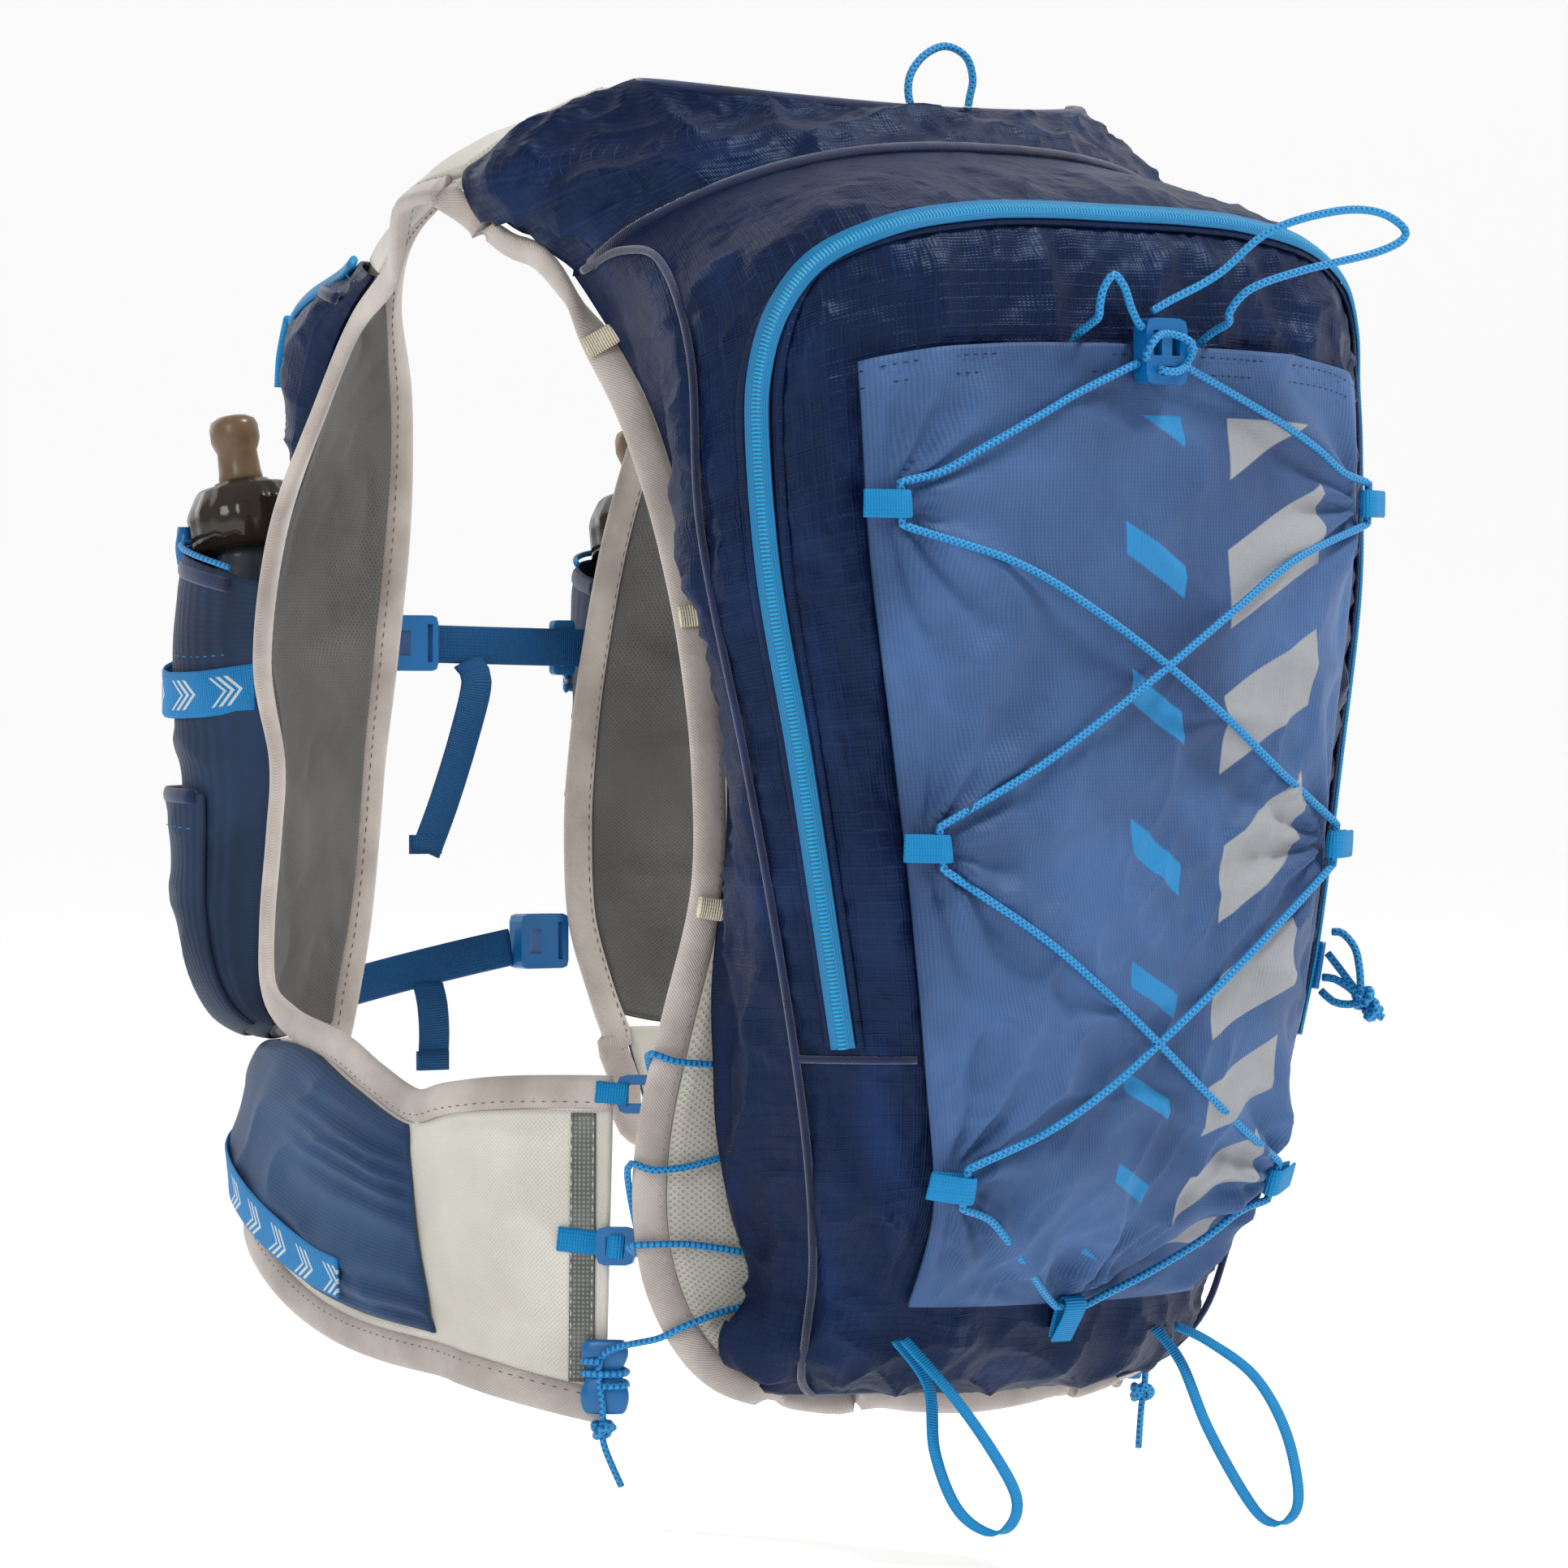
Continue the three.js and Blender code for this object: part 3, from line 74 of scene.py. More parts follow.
# Overall sizes and cloth, as in the CAD model
HALF_GIRTH, CHEST_REACH, BACK_REACH, DROP = 155, 224, 72, 475
PACK_REACH, PACK_HALF = 166, 150
GAP, MESH_WALL, WING_WALL, STRAP_WALL = 0.4, 2.4, 2.2, 4
BACK_PAD, BAG_WALL, YOKE_WALL, POCKET_WALL = 5, 1.6, 2.4, 1.5
BINDING_WIDTH, BINDING_THICK = 12, 7
CORD, LACE, WEBBING = 3, 2.6, 1.6

# Front of the vest: x, y, z of the neck edge, x, y, z of the armhole edge, and the bulge
FRONT_ROWS = [
    [0.68, 0.03, 0.025, 1.0, -0.15, -0.05, 0.02],
    [0.67, -0.18, 0.0, 1.01, -0.28, -0.065, 0.03],
    [0.63, -0.47, -0.04, 0.955, -0.34, -0.093, 0.03],
    [0.57, -0.705, -0.095, 0.89, -0.43, -0.116, 0.04],
    [0.45, -0.8, -0.165, 0.845, -0.59, -0.165, 0.05],
    [0.36, -0.86, -0.25, 0.82, -0.72, -0.25, 0.05],
    [0.32, -0.92, -0.37, 0.84, -0.84, -0.37, 0.05],
    [0.31, -0.97, -0.475, 0.81, -0.82, -0.475, 0.06],
    [0.31, -0.99, -0.545, 0.81, -0.82, -0.54, 0.06],
    [0.32, -1.0, -0.62, 0.84, -0.815, -0.62, 0.07],
    [0.37, -0.99, -0.685, 0.88, -0.77, -0.685, 0.1],
    [0.4, -0.985, -0.73, 0.915, -0.62, -0.722, 0.15],
]

# Waist band: x, y, z of the hem, x, y, z of the upper edge, and the bulge
WING_ROWS = [
    [0.48, -0.98, -0.79, 0.4, -0.99, -0.722, 0.0],
    [0.7, -0.93, -0.832, 0.62, -0.945, -0.72, 0.0],
    [0.885, -0.82, -0.862, 0.77, -0.83, -0.718, 0.01],
    [0.965, -0.69, -0.9, 0.86, -0.71, -0.714, 0.015],
    [0.985, -0.545, -0.935, 0.92, -0.59, -0.717, 0.015],
    [1.0, -0.38, -0.953, 0.96, -0.45, -0.742, 0.015],
    [1.0, -0.18, -0.962, 0.974, -0.295, -0.77, 0.015],
    [1.0, -0.1, -0.97, 0.968, -0.17, -0.76, 0.015],
    [0.925, -0.01, -0.984, 0.91, -0.03, -0.754, 0.015],
    [0.81, 0.075, -0.998, 0.81, 0.095, -0.752, 0.0],
]

# Back panel: x, y, z of the side edge, and y, z of the spine
BACK_ROWS = [
    [0.865, -0.08, -0.14, 0.71, -0.006],
    [0.77, 0.24, -0.23, 0.86, -0.147],
    [0.72, 0.42, -0.31, 0.94, -0.263],
    [0.71, 0.6, -0.39, 0.99, -0.38],
    [0.73, 0.78, -0.49, 1.0, -0.49],
    [0.76, 0.85, -0.6, 1.0, -0.6],
    [0.82, 0.72, -0.716, 0.97, -0.706],
    [0.84, 0.6, -0.8, 0.96, -0.8],
    [0.81, 0.57, -0.884, 0.97, -0.884],
    [0.71, 0.69, -0.954, 0.985, -0.944],
    [0.54, 0.92, -0.98, 1.0, -0.98],
]
BACK_FLATNESS = 2.2

# Bag: back row of the side edge, its share of that width, rear y and z, half width, squareness
BAG_ROWS = [
    [0.0, 0.94, 0.52, -0.027, 0.93, 2.5],
    [0.9, 0.93, 0.91, -0.085, 1.02, 3.8],
    [1.9, 0.93, 0.98, -0.19, 1.04, 3.8],
    [3.1, 0.93, 1.0, -0.337, 1.03, 3.4],
    [4.15, 0.93, 1.0, -0.484, 0.95, 3.2],
    [5.27, 0.94, 1.0, -0.632, 0.86, 3.2],
    [6.25, 0.86, 0.98, -0.741, 0.79, 3.0],
    [7.4, 0.78, 0.92, -0.825, 0.75, 3.0],
    [8.15, 0.75, 0.76, -0.905, 0.71, 2.8],
    [8.8, 0.9, 0.67, -0.96, 0.71, 2.8],
    [9.3, 0.91, 0.54, -0.98, 0.65, 2.5],
    [9.6, 0.9, 0.49, -0.982, 0.6, 2.3],
]
SLOT_ROWS, LACE_SLOT = (5.8, 8.6), 4.6

# Yoke: side x, y, z, rear y and z, half width, squareness
YOKE_ROWS = [
    [0.68, 0.045, 0.027, 0.34, 0.009, 0.7, 2.0],
    [1.0, -0.13, -0.048, 0.43, -0.006, 1.03, 2.1],
]

FRONT_SPAN, WING_SPAN, BACK_SPAN = (0.12, 0.93), (0.06, 0.94), (0.032, 0.968)
WING_START, BACK_END = 0.045, 0.985


# Numbers and surfaces


def lerp(a, b, t):
    return a + (b - a) * t


def clamp(x, low=0.0, high=1.0):
    return max(low, min(high, x))


def smoothstep(x, low, high):
    t = clamp((x - low) / (high - low))
    return t * t * (3 - 2 * t)


def shares(start, end, count):
    return [lerp(start, end, i / (count - 1)) for i in range(count)]


def catmull(p0, p1, p2, p3, t):
    m1 = (p2 - p0) / 2
    m2 = (p3 - p1) / 2
    a = (2 * t**3 - 3 * t**2 + 1) * p1 + (t**3 - 2 * t**2 + t) * m1
    return a + (3 * t**2 - 2 * t**3) * p2 + (t**3 - t**2) * m2


def blend(rows, u):
    place = clamp(u) * (len(rows) - 1)
    i = min(int(place), len(rows) - 2)
    near = [rows[max(i - 1, 0)], rows[i], rows[i + 1], rows[min(i + 2, len(rows) - 1)]]
    return [catmull(*columns, place - i) for columns in zip(*near)]


class Surface:
    """A smooth surface with its normals, both in mm."""

    def __init__(self, point_at, inside):
        self.point = lru_cache(maxsize=None)(point_at)
        self.inside = inside

    def frame(self, u, v):
        step = 2e-3
        along = self.point(min(u + step, 1), v) - self.point(max(u - step, 0), v)
        across = self.point(u, min(v + step, 1)) - self.point(u, max(v - step, 0))
        point = self.point(u, v)
        normal = along.cross(across).normalized()
        if normal.dot(point - self.inside) < 0:
            normal.negate()
        return point, normal

    def at(self, u, v, lift=0.0):
        point, normal = self.frame(clamp(u), clamp(v))
        return point + normal * lift

    def normal_at(self, u, v):
        return self.frame(clamp(u), clamp(v))[1]


def edged(table, inside):
    @lru_cache(maxsize=None)
    def edges(u):
        nx, ny, nz, ax, ay, az, bulge = blend(table, u)
        neck = Vector((nx * HALF_GIRTH, ny * CHEST_REACH, nz * DROP))
        arm = Vector((ax * HALF_GIRTH, ay * CHEST_REACH, az * DROP))
        return neck, arm, bulge * HALF_GIRTH

    def point_at(u, v):
        neck, arm, bulge = edges(u)
        point = neck.lerp(arm, v)
        ahead, behind = edges(min(u + 0.02, 1)), edges(max(u - 0.02, 0))
        along = (ahead[0] + ahead[1]) / 2 - (behind[0] + behind[1]) / 2
        out = along.cross(arm - neck).normalized()
        if out.dot(point - inside) < 0:
            out.negate()
        return point + out * (bulge * 4 * v * (1 - v))

    return Surface(point_at, inside)


CHEST_CORE = Vector((0.5 * HALF_GIRTH, -0.35 * CHEST_REACH, -0.4 * DROP))
BAG_CORE = Vector((0, 0.5 * PACK_REACH, -0.5 * DROP))
front = edged(FRONT_ROWS, CHEST_CORE)
wing = edged(WING_ROWS, CHEST_CORE)


def front_row(row):
    return row / (len(FRONT_ROWS) - 1)


def wing_row(row):
    return row / (len(WING_ROWS) - 1)


def back_row(row):
    return row / (len(BACK_ROWS) - 1)


def bag_row(row):
    return row / (len(BAG_ROWS) - 1)


def back_point(u, v):
    sx, sy, sz, by, bz = blend(BACK_ROWS, u)
    t = 1 - 2 * v
    fall = abs(t) ** BACK_FLATNESS
    return Vector((sx * HALF_GIRTH * t, lerp(by, sy, fall) * BACK_REACH, lerp(bz, sz, fall) * DROP))


back = Surface(back_point, Vector((0, -0.3 * CHEST_REACH, -0.4 * DROP)))


def hoop(side, back_y, back_z, half_width, exponent, v):
    angle = math.pi * v
    c, s = math.cos(angle), abs(math.sin(angle))
    reach = (abs(c) ** exponent + s**exponent) ** (-1 / exponent)
    c, s = c * reach, s * reach
    wide = lerp(side.x, half_width, smoothstep(s, 0, 0.5))
    return Vector((c * wide, lerp(side.y, back_y, s), lerp(side.z, back_z, s**1.5)))


@lru_cache(maxsize=None)
def bag_section(u):
    seat, share, y, z, wide, exponent = blend(BAG_ROWS, u)
    row = u * (len(BAG_ROWS) - 1)
    slot = smoothstep(row, SLOT_ROWS[0] - 1, SLOT_ROWS[0])
    slot *= 1 - smoothstep(row, SLOT_ROWS[1], SLOT_ROWS[1] + 1)
    side = back.at(back_row(seat), (1 - share) / 2, BACK_PAD + 4 * GAP + slot * LACE_SLOT)
    return side, y * PACK_REACH, z * DROP, wide * PACK_HALF, exponent


@lru_cache(maxsize=None)
def yoke_section(u):
    size = [HALF_GIRTH, CHEST_REACH, DROP, PACK_REACH, DROP, PACK_HALF, 1]
    rows = [[share * k for share, k in zip(row, size)] for row in YOKE_ROWS]
    corner, y, z, wide, exponent = bag_section(0.0)
    rows.append([corner.x, corner.y, corner.z, y, z, wide, exponent])
    sx, sy, sz, y, z, wide, exponent = blend(rows, u)
    return Vector((sx, sy, sz)), y, z, wide, exponent


bag = Surface(lambda u, v: hoop(*bag_section(u), v), BAG_CORE)
yoke = Surface(lambda u, v: hoop(*yoke_section(u), v), BAG_CORE)


# Camera at the photograph's view, then the materials


VIEW_AZIMUTH = math.radians(140)
VIEW_ELEVATION = math.radians(0.4)
VIEW_TARGET = Vector((-0.019, -0.054, -0.246))
VIEW_DISTANCE = 3.18
SENSOR_WIDTH = 36
LENS = 190.06


def place_camera():
    toward = Vector((math.sin(VIEW_AZIMUTH), -math.cos(VIEW_AZIMUTH), 0)) * math.cos(VIEW_ELEVATION)
    toward += UP * math.sin(VIEW_ELEVATION)
    camera = bpy.data.objects.new("camera", bpy.data.cameras.new("camera"))
    camera.data.sensor_width = SENSOR_WIDTH
    camera.data.lens = LENS
    camera.location = VIEW_TARGET + VIEW_DISTANCE * toward
    camera.rotation_euler = (-toward).to_track_quat("-Z", "Y").to_euler()
    bpy.context.scene.collection.objects.link(camera)
    bpy.context.scene.camera = camera


place_camera()


def rgb(red, green, blue):
    """A colour as seen on a screen, 0 to 255, in Blender's linear values."""
    channels = [c / 255 for c in (red, green, blue)]
    return [c / 12.92 if c < 0.04 else ((c + 0.055) / 1.055) ** 2.4 for c in channels] + [1]


class Shader:
    """A principled material and short names for the nodes that feed it."""

    def __init__(self, name, roughness, **sockets):
        self.material = bpy.data.materials.new(name)
        self.material.use_nodes = True
        self.tree = self.material.node_tree
        self.surface = self.tree.nodes["Principled BSDF"]
        self.surface.inputs["Roughness"].default_value = roughness
        for key, value in sockets.items():
            self.surface.inputs[key.replace("_", " ")].default_value = value
        self.across, self.along = self.parts(self.node("ShaderNodeUVMap").outputs[0])
        self.place = self.node("ShaderNodeTexCoord").outputs["Object"]

    def node(self, kind, inputs=None, **settings):
        node = self.tree.nodes.new(kind)
        for key, value in settings.items():
            setattr(node, key, value)
        for key, value in (inputs or {}).items():
            if isinstance(value, bpy.types.NodeSocket):
                self.tree.links.new(value, node.inputs[key])
            else:
                node.inputs[key].default_value = value
        return node

    def parts(self, vector):
        split = self.node("ShaderNodeSeparateXYZ", {0: vector})
        return split.outputs[0], split.outputs[1]

    def math(self, operation, a, b=0.0):
        return self.node("ShaderNodeMath", {0: a, 1: b}, operation=operation).outputs[0]

    def wave(self, value, pitch):
        """0 to 1 and back over each pitch, which is in mm."""
        turns = self.math("MULTIPLY", value, 2 * math.pi / (pitch * MM))
        return self.math("MULTIPLY_ADD", self.math("SINE", turns), 0.5)

    def noise(self, size, detail=3.0, kind="FBM", stretch=(1, 1, 1)):
        """Noise whose features are about as large as the size in mm."""
        scaled = self.node("ShaderNodeMapping", {0: self.place, 3: stretch}).outputs[0]
        inputs = {"Vector": scaled, "Scale": 1 / (size * MM), "Detail": detail}
        return self.node("ShaderNodeTexNoise", inputs, noise_type=kind).outputs[0]

    def spread(self, value, low, high):
        inputs = {0: value, 1: low, 2: high}
        return self.node("ShaderNodeMapRange", inputs, interpolation_type="SMOOTHSTEP").outputs[0]

    def mix(self, share, first, second):
        inputs = {0: share, 6: first, 7: second}
        return self.node("ShaderNodeMix", inputs, data_type="RGBA").outputs[2]

    def colour(self, value):
        self.tree.links.new(value, self.surface.inputs["Base Color"])

    def rough(self, value, low, high):
        inputs = {0: value, 3: low, 4: high}
        rough = self.node("ShaderNodeMapRange", inputs).outputs[0]
        self.tree.links.new(rough, self.surface.inputs["Roughness"])

    def bumps(self, *layers):
        """Each layer is a height from 0 to 1, and its depth in mm."""
        normal = None
        for height, depth in layers:
            inputs = {"Height": height, "Distance": depth * MM, "Strength": 1.0}
            if normal:
                inputs["Normal"] = normal
            normal = self.node("ShaderNodeBump", inputs).outputs[0]
        self.tree.links.new(normal, self.surface.inputs["Normal"])


def ripstop(name, light, dark):
    """Crinkled nylon with a grid of thicker threads every 4.5 mm. Its colour follows the crinkles: painted
    highlight on their crests, painted shade in their creases.
    """
    s = Shader(name, 0.5, Specular_IOR_Level=0.3, Specular_Tint=(0.45, 0.65, 1, 1))
    crinkle = s.noise(30, 5, "RIDGED_MULTIFRACTAL", (1, 1, 0.6))
    fine = s.noise(9, 4, "RIDGED_MULTIFRACTAL", (1, 1, 0.7))
    lines = s.math(
        "MAXIMUM", s.spread(s.wave(s.across, 4.5), 0.93, 1), s.spread(s.wave(s.along, 4.5), 0.93, 1)
    )
    weave = s.math("MULTIPLY", s.wave(s.across, 1.1), s.wave(s.along, 1.1))
    # Painted highlight and shade: the colour rises with the crinkle height, lighter on the crests and darker
    # in the creases; the thicker grid threads are a little lighter.
    tone = s.math("MULTIPLY_ADD", crinkle, 0.55)
    tone = s.math("ADD", tone, s.math("MULTIPLY", lines, 0.12))
    s.colour(s.mix(s.spread(tone, 0.35, 1.45), dark, light))
    s.rough(s.noise(40), 0.38, 0.55)
    s.bumps((s.noise(55, 4), 10.0), (crinkle, 5.0), (fine, 1.3), (lines, 0.15), (weave, 0.12))
    return s.material


def knit(name, light, dark, pitch=1.3, crease=1.0):
    """Stretch cloth with fine upright ribs."""
    s = Shader(name, 0.72, Sheen_Weight=0.1, Specular_IOR_Level=0.3)
    ribs = s.wave(s.across, pitch)
    rows = s.wave(s.along, pitch * 0.8)
    loops = s.math("MULTIPLY", ribs, s.math("MULTIPLY_ADD", rows, 0.5))
    cloud = s.noise(70, 4)
    s.colour(s.mix(s.spread(s.math("ADD", cloud, s.math("MULTIPLY", loops, 0.15)), 0.3, 0.85), dark, light))
    s.bumps((s.noise(24, 3, "RIDGED_MULTIFRACTAL", (1, 1, 0.6)), crease), (loops, 0.14))
    return s.material


def spacer_mesh(name, light, dark, pitch, depth, shade):
    """Open mesh with a staggered pattern of small round holes."""
    s = Shader(name, 0.85, Sheen_Weight=0.1, Specular_IOR_Level=0.25)
    a = s.wave(s.math("ADD", s.across, s.along), pitch)
    b = s.wave(s.math("SUBTRACT", s.across, s.along), pitch)
    hole = s.spread(s.math("MULTIPLY", a, b), 0.35, 0.75)
    cloud = s.noise(45, 4)
    body = s.mix(s.spread(cloud, 0.1, 0.95), dark, light)
    s.colour(s.mix(s.math("MULTIPLY", hole, shade), body, [c * 0.45 for c in dark[:3]] + [1]))
    s.bumps((s.noise(35, 3), 2.5), (s.math("SUBTRACT", 1.0, hole), depth))
    return s.material


def webbing(name, light, dark, chevron=None, width=18):
    """Woven webbing with ribs across it, and chevrons of another colour along it."""
    s = Shader(name, 0.6, Specular_IOR_Level=0.3)
    ribs = s.wave(s.along, 1.0)
    threads = s.wave(s.across, 1.3)
    tone = s.math("MULTIPLY_ADD", ribs, 0.6)
    tone = s.math("ADD", tone, s.math("MULTIPLY", s.noise(20), 0.5))
    body = s.mix(s.spread(tone, 0.3, 1.1), dark, light)
    if chevron:
        fold = s.math("ABSOLUTE", s.math("SUBTRACT", s.across, width * 0.5 * MM))
        slant = s.math("ADD", s.along, fold)
        stroke = s.spread(s.wave(slant, 3.4), 0.45, 0.6)
        group = s.spread(s.wave(slant, 20.4), 0.55, 0.6)
        inside = s.math("SUBTRACT", 1.0, s.spread(fold, width * 0.3 * MM, width * 0.34 * MM))
        marks = s.math("MULTIPLY", s.math("MULTIPLY", stroke, group), inside)
        body = s.mix(marks, body, chevron)
    s.colour(body)
    s.bumps((ribs, 0.3), (threads, 0.12))
    return s.material


def braid(name, light, dark, pitch=2.2):
    """Braided cord sheath with a lighter fleck."""
    s = Shader(name, 0.55, Sheen_Weight=0.06)
    a = s.wave(s.math("ADD", s.along, s.across), pitch)
    b = s.wave(s.math("SUBTRACT", s.along, s.across), pitch)
    plait = s.math("MAXIMUM", a, b)
    s.colour(s.mix(s.spread(plait, 0.25, 0.95), dark, light))
    s.bumps((plait, 0.3))
    return s.material


def binding_tape(name, light, dark):
    """Soft folded edge tape with a fine twill."""
    s = Shader(name, 0.9, Sheen_Weight=0.5, Specular_IOR_Level=0.2)
    twill = s.wave(s.math("ADD", s.along, s.across), 1.2)
    tone = s.math("ADD", s.noise(30, 4), s.math("MULTIPLY", twill, 0.18))
    s.colour(s.mix(s.spread(tone, 0.3, 0.9), dark, light))
    s.bumps((s.noise(16, 3), 0.9), (twill, 0.12))
    return s.material


def zip_tape(name, tape, coil):
    """Zip with a woven tape and a raised coil down its middle."""
    s = Shader(name, 0.5)
    middle = s.math("ABSOLUTE", s.math("SUBTRACT", s.across, ZIP_TAPE_WIDTH * 0.5 * MM))
    on_coil = s.math("SUBTRACT", 1.0, s.spread(middle, 1.5 * MM, 1.9 * MM))
    teeth = s.wave(s.along, 1.5)
    ribs = s.wave(s.across, 0.9)
    body = s.mix(s.spread(ribs, 0.0, 1.2), [c * 0.75 for c in tape[:3]] + [1], tape)
    coils = s.mix(s.spread(teeth, 0.1, 0.8), [c * 0.4 for c in coil[:3]] + [1], coil)
    s.colour(s.mix(on_coil, body, coils))
    s.bumps((s.math("MULTIPLY", teeth, on_coil), 0.5), (ribs, 0.08))
    return s.material


def moulded(name, colour, roughness=0.35, **sockets):
    """Moulded plastic with a fine grain and slight scuffs."""
    s = Shader(name, roughness, **sockets)
    scuff = s.spread(s.noise(9, 5), 0.55, 0.8)
    s.colour(
        s.mix(s.math("MULTIPLY", scuff, 0.25), colour, [min(1, c * 1.7 + 0.02) for c in colour[:3]] + [1])
    )
    s.rough(scuff, roughness, min(1, roughness + 0.25))
    s.bumps((s.noise(0.8, 2), 0.03))
    return s.material


def reflective(name, light, dark):
    """Grey reflective tape with a pattern of tiny cells."""
    s = Shader(name, 0.35, Metallic=0.35)
    cells = s.math("MULTIPLY", s.wave(s.across, 1.6), s.wave(s.along, 1.6))
    s.colour(s.mix(s.spread(s.math("ADD", cells, s.noise(14)), 0.3, 1.2), dark, light))
    s.bumps((cells, 0.1), (s.noise(12, 3), 0.5))
    return s.material


ZIP_TAPE_WIDTH = 9
# The navy cloth's lighter colour is its painted highlight on the crinkle crests, its darker colour the
# painted shade in the creases.
NAVY_CLOTH = ripstop("navy_ripstop", rgb(26, 56, 116), rgb(7, 17, 46))
NAVY_PIPING = binding_tape("navy_piping", rgb(26, 44, 88), rgb(9, 17, 44))
BLUE_KNIT = knit("blue_stretch", rgb(46, 80, 120), rgb(26, 50, 84))
DEEP_KNIT = knit("deep_blue_stretch", rgb(32, 56, 88), rgb(15, 30, 54), 1.5)
PALE_MESH = spacer_mesh("pale_mesh", rgb(222, 219, 210), rgb(196, 192, 182), 1.6, 0.15, 0.16)
GREY_MESH = spacer_mesh("grey_mesh", rgb(112, 110, 108), rgb(86, 84, 82), 1.9, 0.3, 0.4)
BACK_MESH = spacer_mesh("back_mesh", rgb(206, 202, 192), rgb(164, 160, 151), 2.8, 0.4, 0.25)
TAUPE = binding_tape("taupe_binding", rgb(202, 192, 185), rgb(160, 149, 143))
CYAN_BRAID = braid("cyan_braid", rgb(6, 146, 208), rgb(0, 84, 150))
CYAN_WEB = webbing("cyan_webbing", rgb(4, 138, 200), rgb(0, 82, 144))
CHEVRON_WEB = webbing("chevron_webbing", rgb(30, 132, 196), rgb(4, 78, 142), rgb(206, 214, 216))
BLUE_WEB = webbing("blue_webbing", rgb(0, 80, 134), rgb(0, 40, 80))
CYAN_ZIP = zip_tape("cyan_zip", rgb(0, 128, 186), rgb(0, 162, 222))
BLUE_PLASTIC = moulded("blue_plastic", rgb(0, 98, 160), 0.32)
SMOKE_PLASTIC = moulded("smoke_plastic", rgb(52, 44, 34), 0.12, Transmission_Weight=0.35, IOR=1.45)
AMBER_PLASTIC = moulded("amber_plastic", rgb(122, 98, 74), 0.3, Transmission_Weight=0.3, IOR=1.4)
FLASK_FILM = moulded("flask_film", rgb(96, 104, 112), 0.25, Transmission_Weight=0.4, IOR=1.35)
GREY_TAPE = reflective("grey_tape", rgb(126, 128, 122), rgb(78, 80, 77))
CREAM = webbing("cream_webbing", rgb(222, 212, 186), rgb(186, 174, 146))
WHITE_THREAD = moulded("white_thread", rgb(222, 222, 214), 0.7)
NAVY_THREAD = moulded("navy_thread", rgb(12, 16, 36), 0.7)
TAUPE_THREAD = moulded("taupe_thread", rgb(112, 98, 92), 0.8)
CYAN_THREAD = moulded("cyan_thread", rgb(40, 140, 196), 0.7)


# Meshes


def add_object(name, points, faces, material, uvs=None, node=None):
    """An object in metres from points in mm. uvs holds one (across, along) pair in mm per point."""
    mesh = bpy.data.meshes.new(name)
    mesh.from_pydata([p * MM for p in points], [], faces)
    if uvs:
        layer = mesh.uv_layers.new(name="cloth")
        for loop in mesh.loops:
            across, along = uvs[loop.vertex_index]
            layer.data[loop.index].uv = (across * MM, along * MM)
    for polygon in mesh.polygons:
        polygon.use_smooth = True
    mesh.materials.append(material)
    obj = bpy.data.objects.new(name, mesh)
    bpy.context.scene.collection.objects.link(obj)
    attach(obj, "root")
    if node:
        nodes = [node] if isinstance(node, str) else node
        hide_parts(*nodes)
    return obj


def mirror(point):
    return Vector((-point.x, point.y, point.z))


def sheet(
    name, surface, span, sides, lift, thick, material, grid, wrinkle=None, node=None, flip=False,
    taper=None
):
    """Cloth over part of a surface. lift and wrinkle are functions of the shares s down and t across.

    taper(s) is how far each side edge moves in, as a share round the surface."""
    rows, columns = grid
    us, vs = shares(*span, rows + 1), shares(*sides, columns + 1)
    length = sum((surface.point(a, 0.5) - surface.point(b, 0.5)).length for a, b in zip(us, us[1:]))
    middle = (us[0] + us[-1]) / 2
    width = sum((surface.point(middle, a) - surface.point(middle, b)).length for a, b in zip(vs, vs[1:]))
    outer, inner, uvs = [], [], []
    for i, u in enumerate(us):
        for j, v in enumerate(vs):
            s, t = i / rows, j / columns
            if taper:
                v += taper(s) * (1 - 2 * t)
            point, normal = surface.frame(u, v)
            height = lift(s, t) + (wrinkle(point, s, t) if wrinkle else 0)
            outer.append(point + normal * (height + thick))
            inner.append(point + normal * height)
            uvs.append((t * width, s * length))
    count = len(outer)
    wide = columns + 1
    faces = []
    for i in range(rows):
        for j in range(columns):
            a = i * wide + j
            faces.append((a, a + 1, a + wide + 1, a + wide))
            faces.append((count + a, count + a + wide, count + a + wide + 1, count + a + 1))
    for j in range(columns):
        last = rows * wide + j
        faces.append((j, count + j, count + j + 1, j + 1))
        faces.append((last + 1, count + last + 1, count + last, last))
    for i in range(rows):
        a, b = i * wide, i * wide + columns
        faces.append((a + wide, count + a + wide, count + a, a))
        faces.append((b, count + b, count + b + wide, b + wide))
    for i in range(rows):
        for j in range(columns):
            a, b = outer[i * wide + j], outer[i * wide + j + 1]
            c, d = outer[(i + 1) * wide + j + 1], outer[(i + 1) * wide + j]
    points = outer + inner
    middle_face = faces[(rows // 2) * columns * 2 + columns]
    a, b, c, _ = [points[k] for k in middle_face]
    outward = surface.normal_at(us[rows // 2], vs[columns // 2])
    turned = (b - a).cross(c - a).dot(outward) < 0
    if flip:
        points = [mirror(p) for p in points]
        turned = not turned
    if turned:
        faces = [face[::-1] for face in faces]
    piece = add_object(name, points, faces, material, uvs * 2, node)
    return piece


def beside(piece, node):
    """The node that lies on the same side of the wearer as the piece."""
    side = piece.name.split(".")[0].rsplit("_", 1)[1]
    return f"{node}_{side}"


def both(make, name, *args, **kwargs):
    """A piece on the wearer's left and its mirror image on the right."""
    return [
        make(f"{name}_{side}", *args, node=f"{name}_{side}", flip=side == "right", **kwargs)
        for side in ("left", "right")
    ]


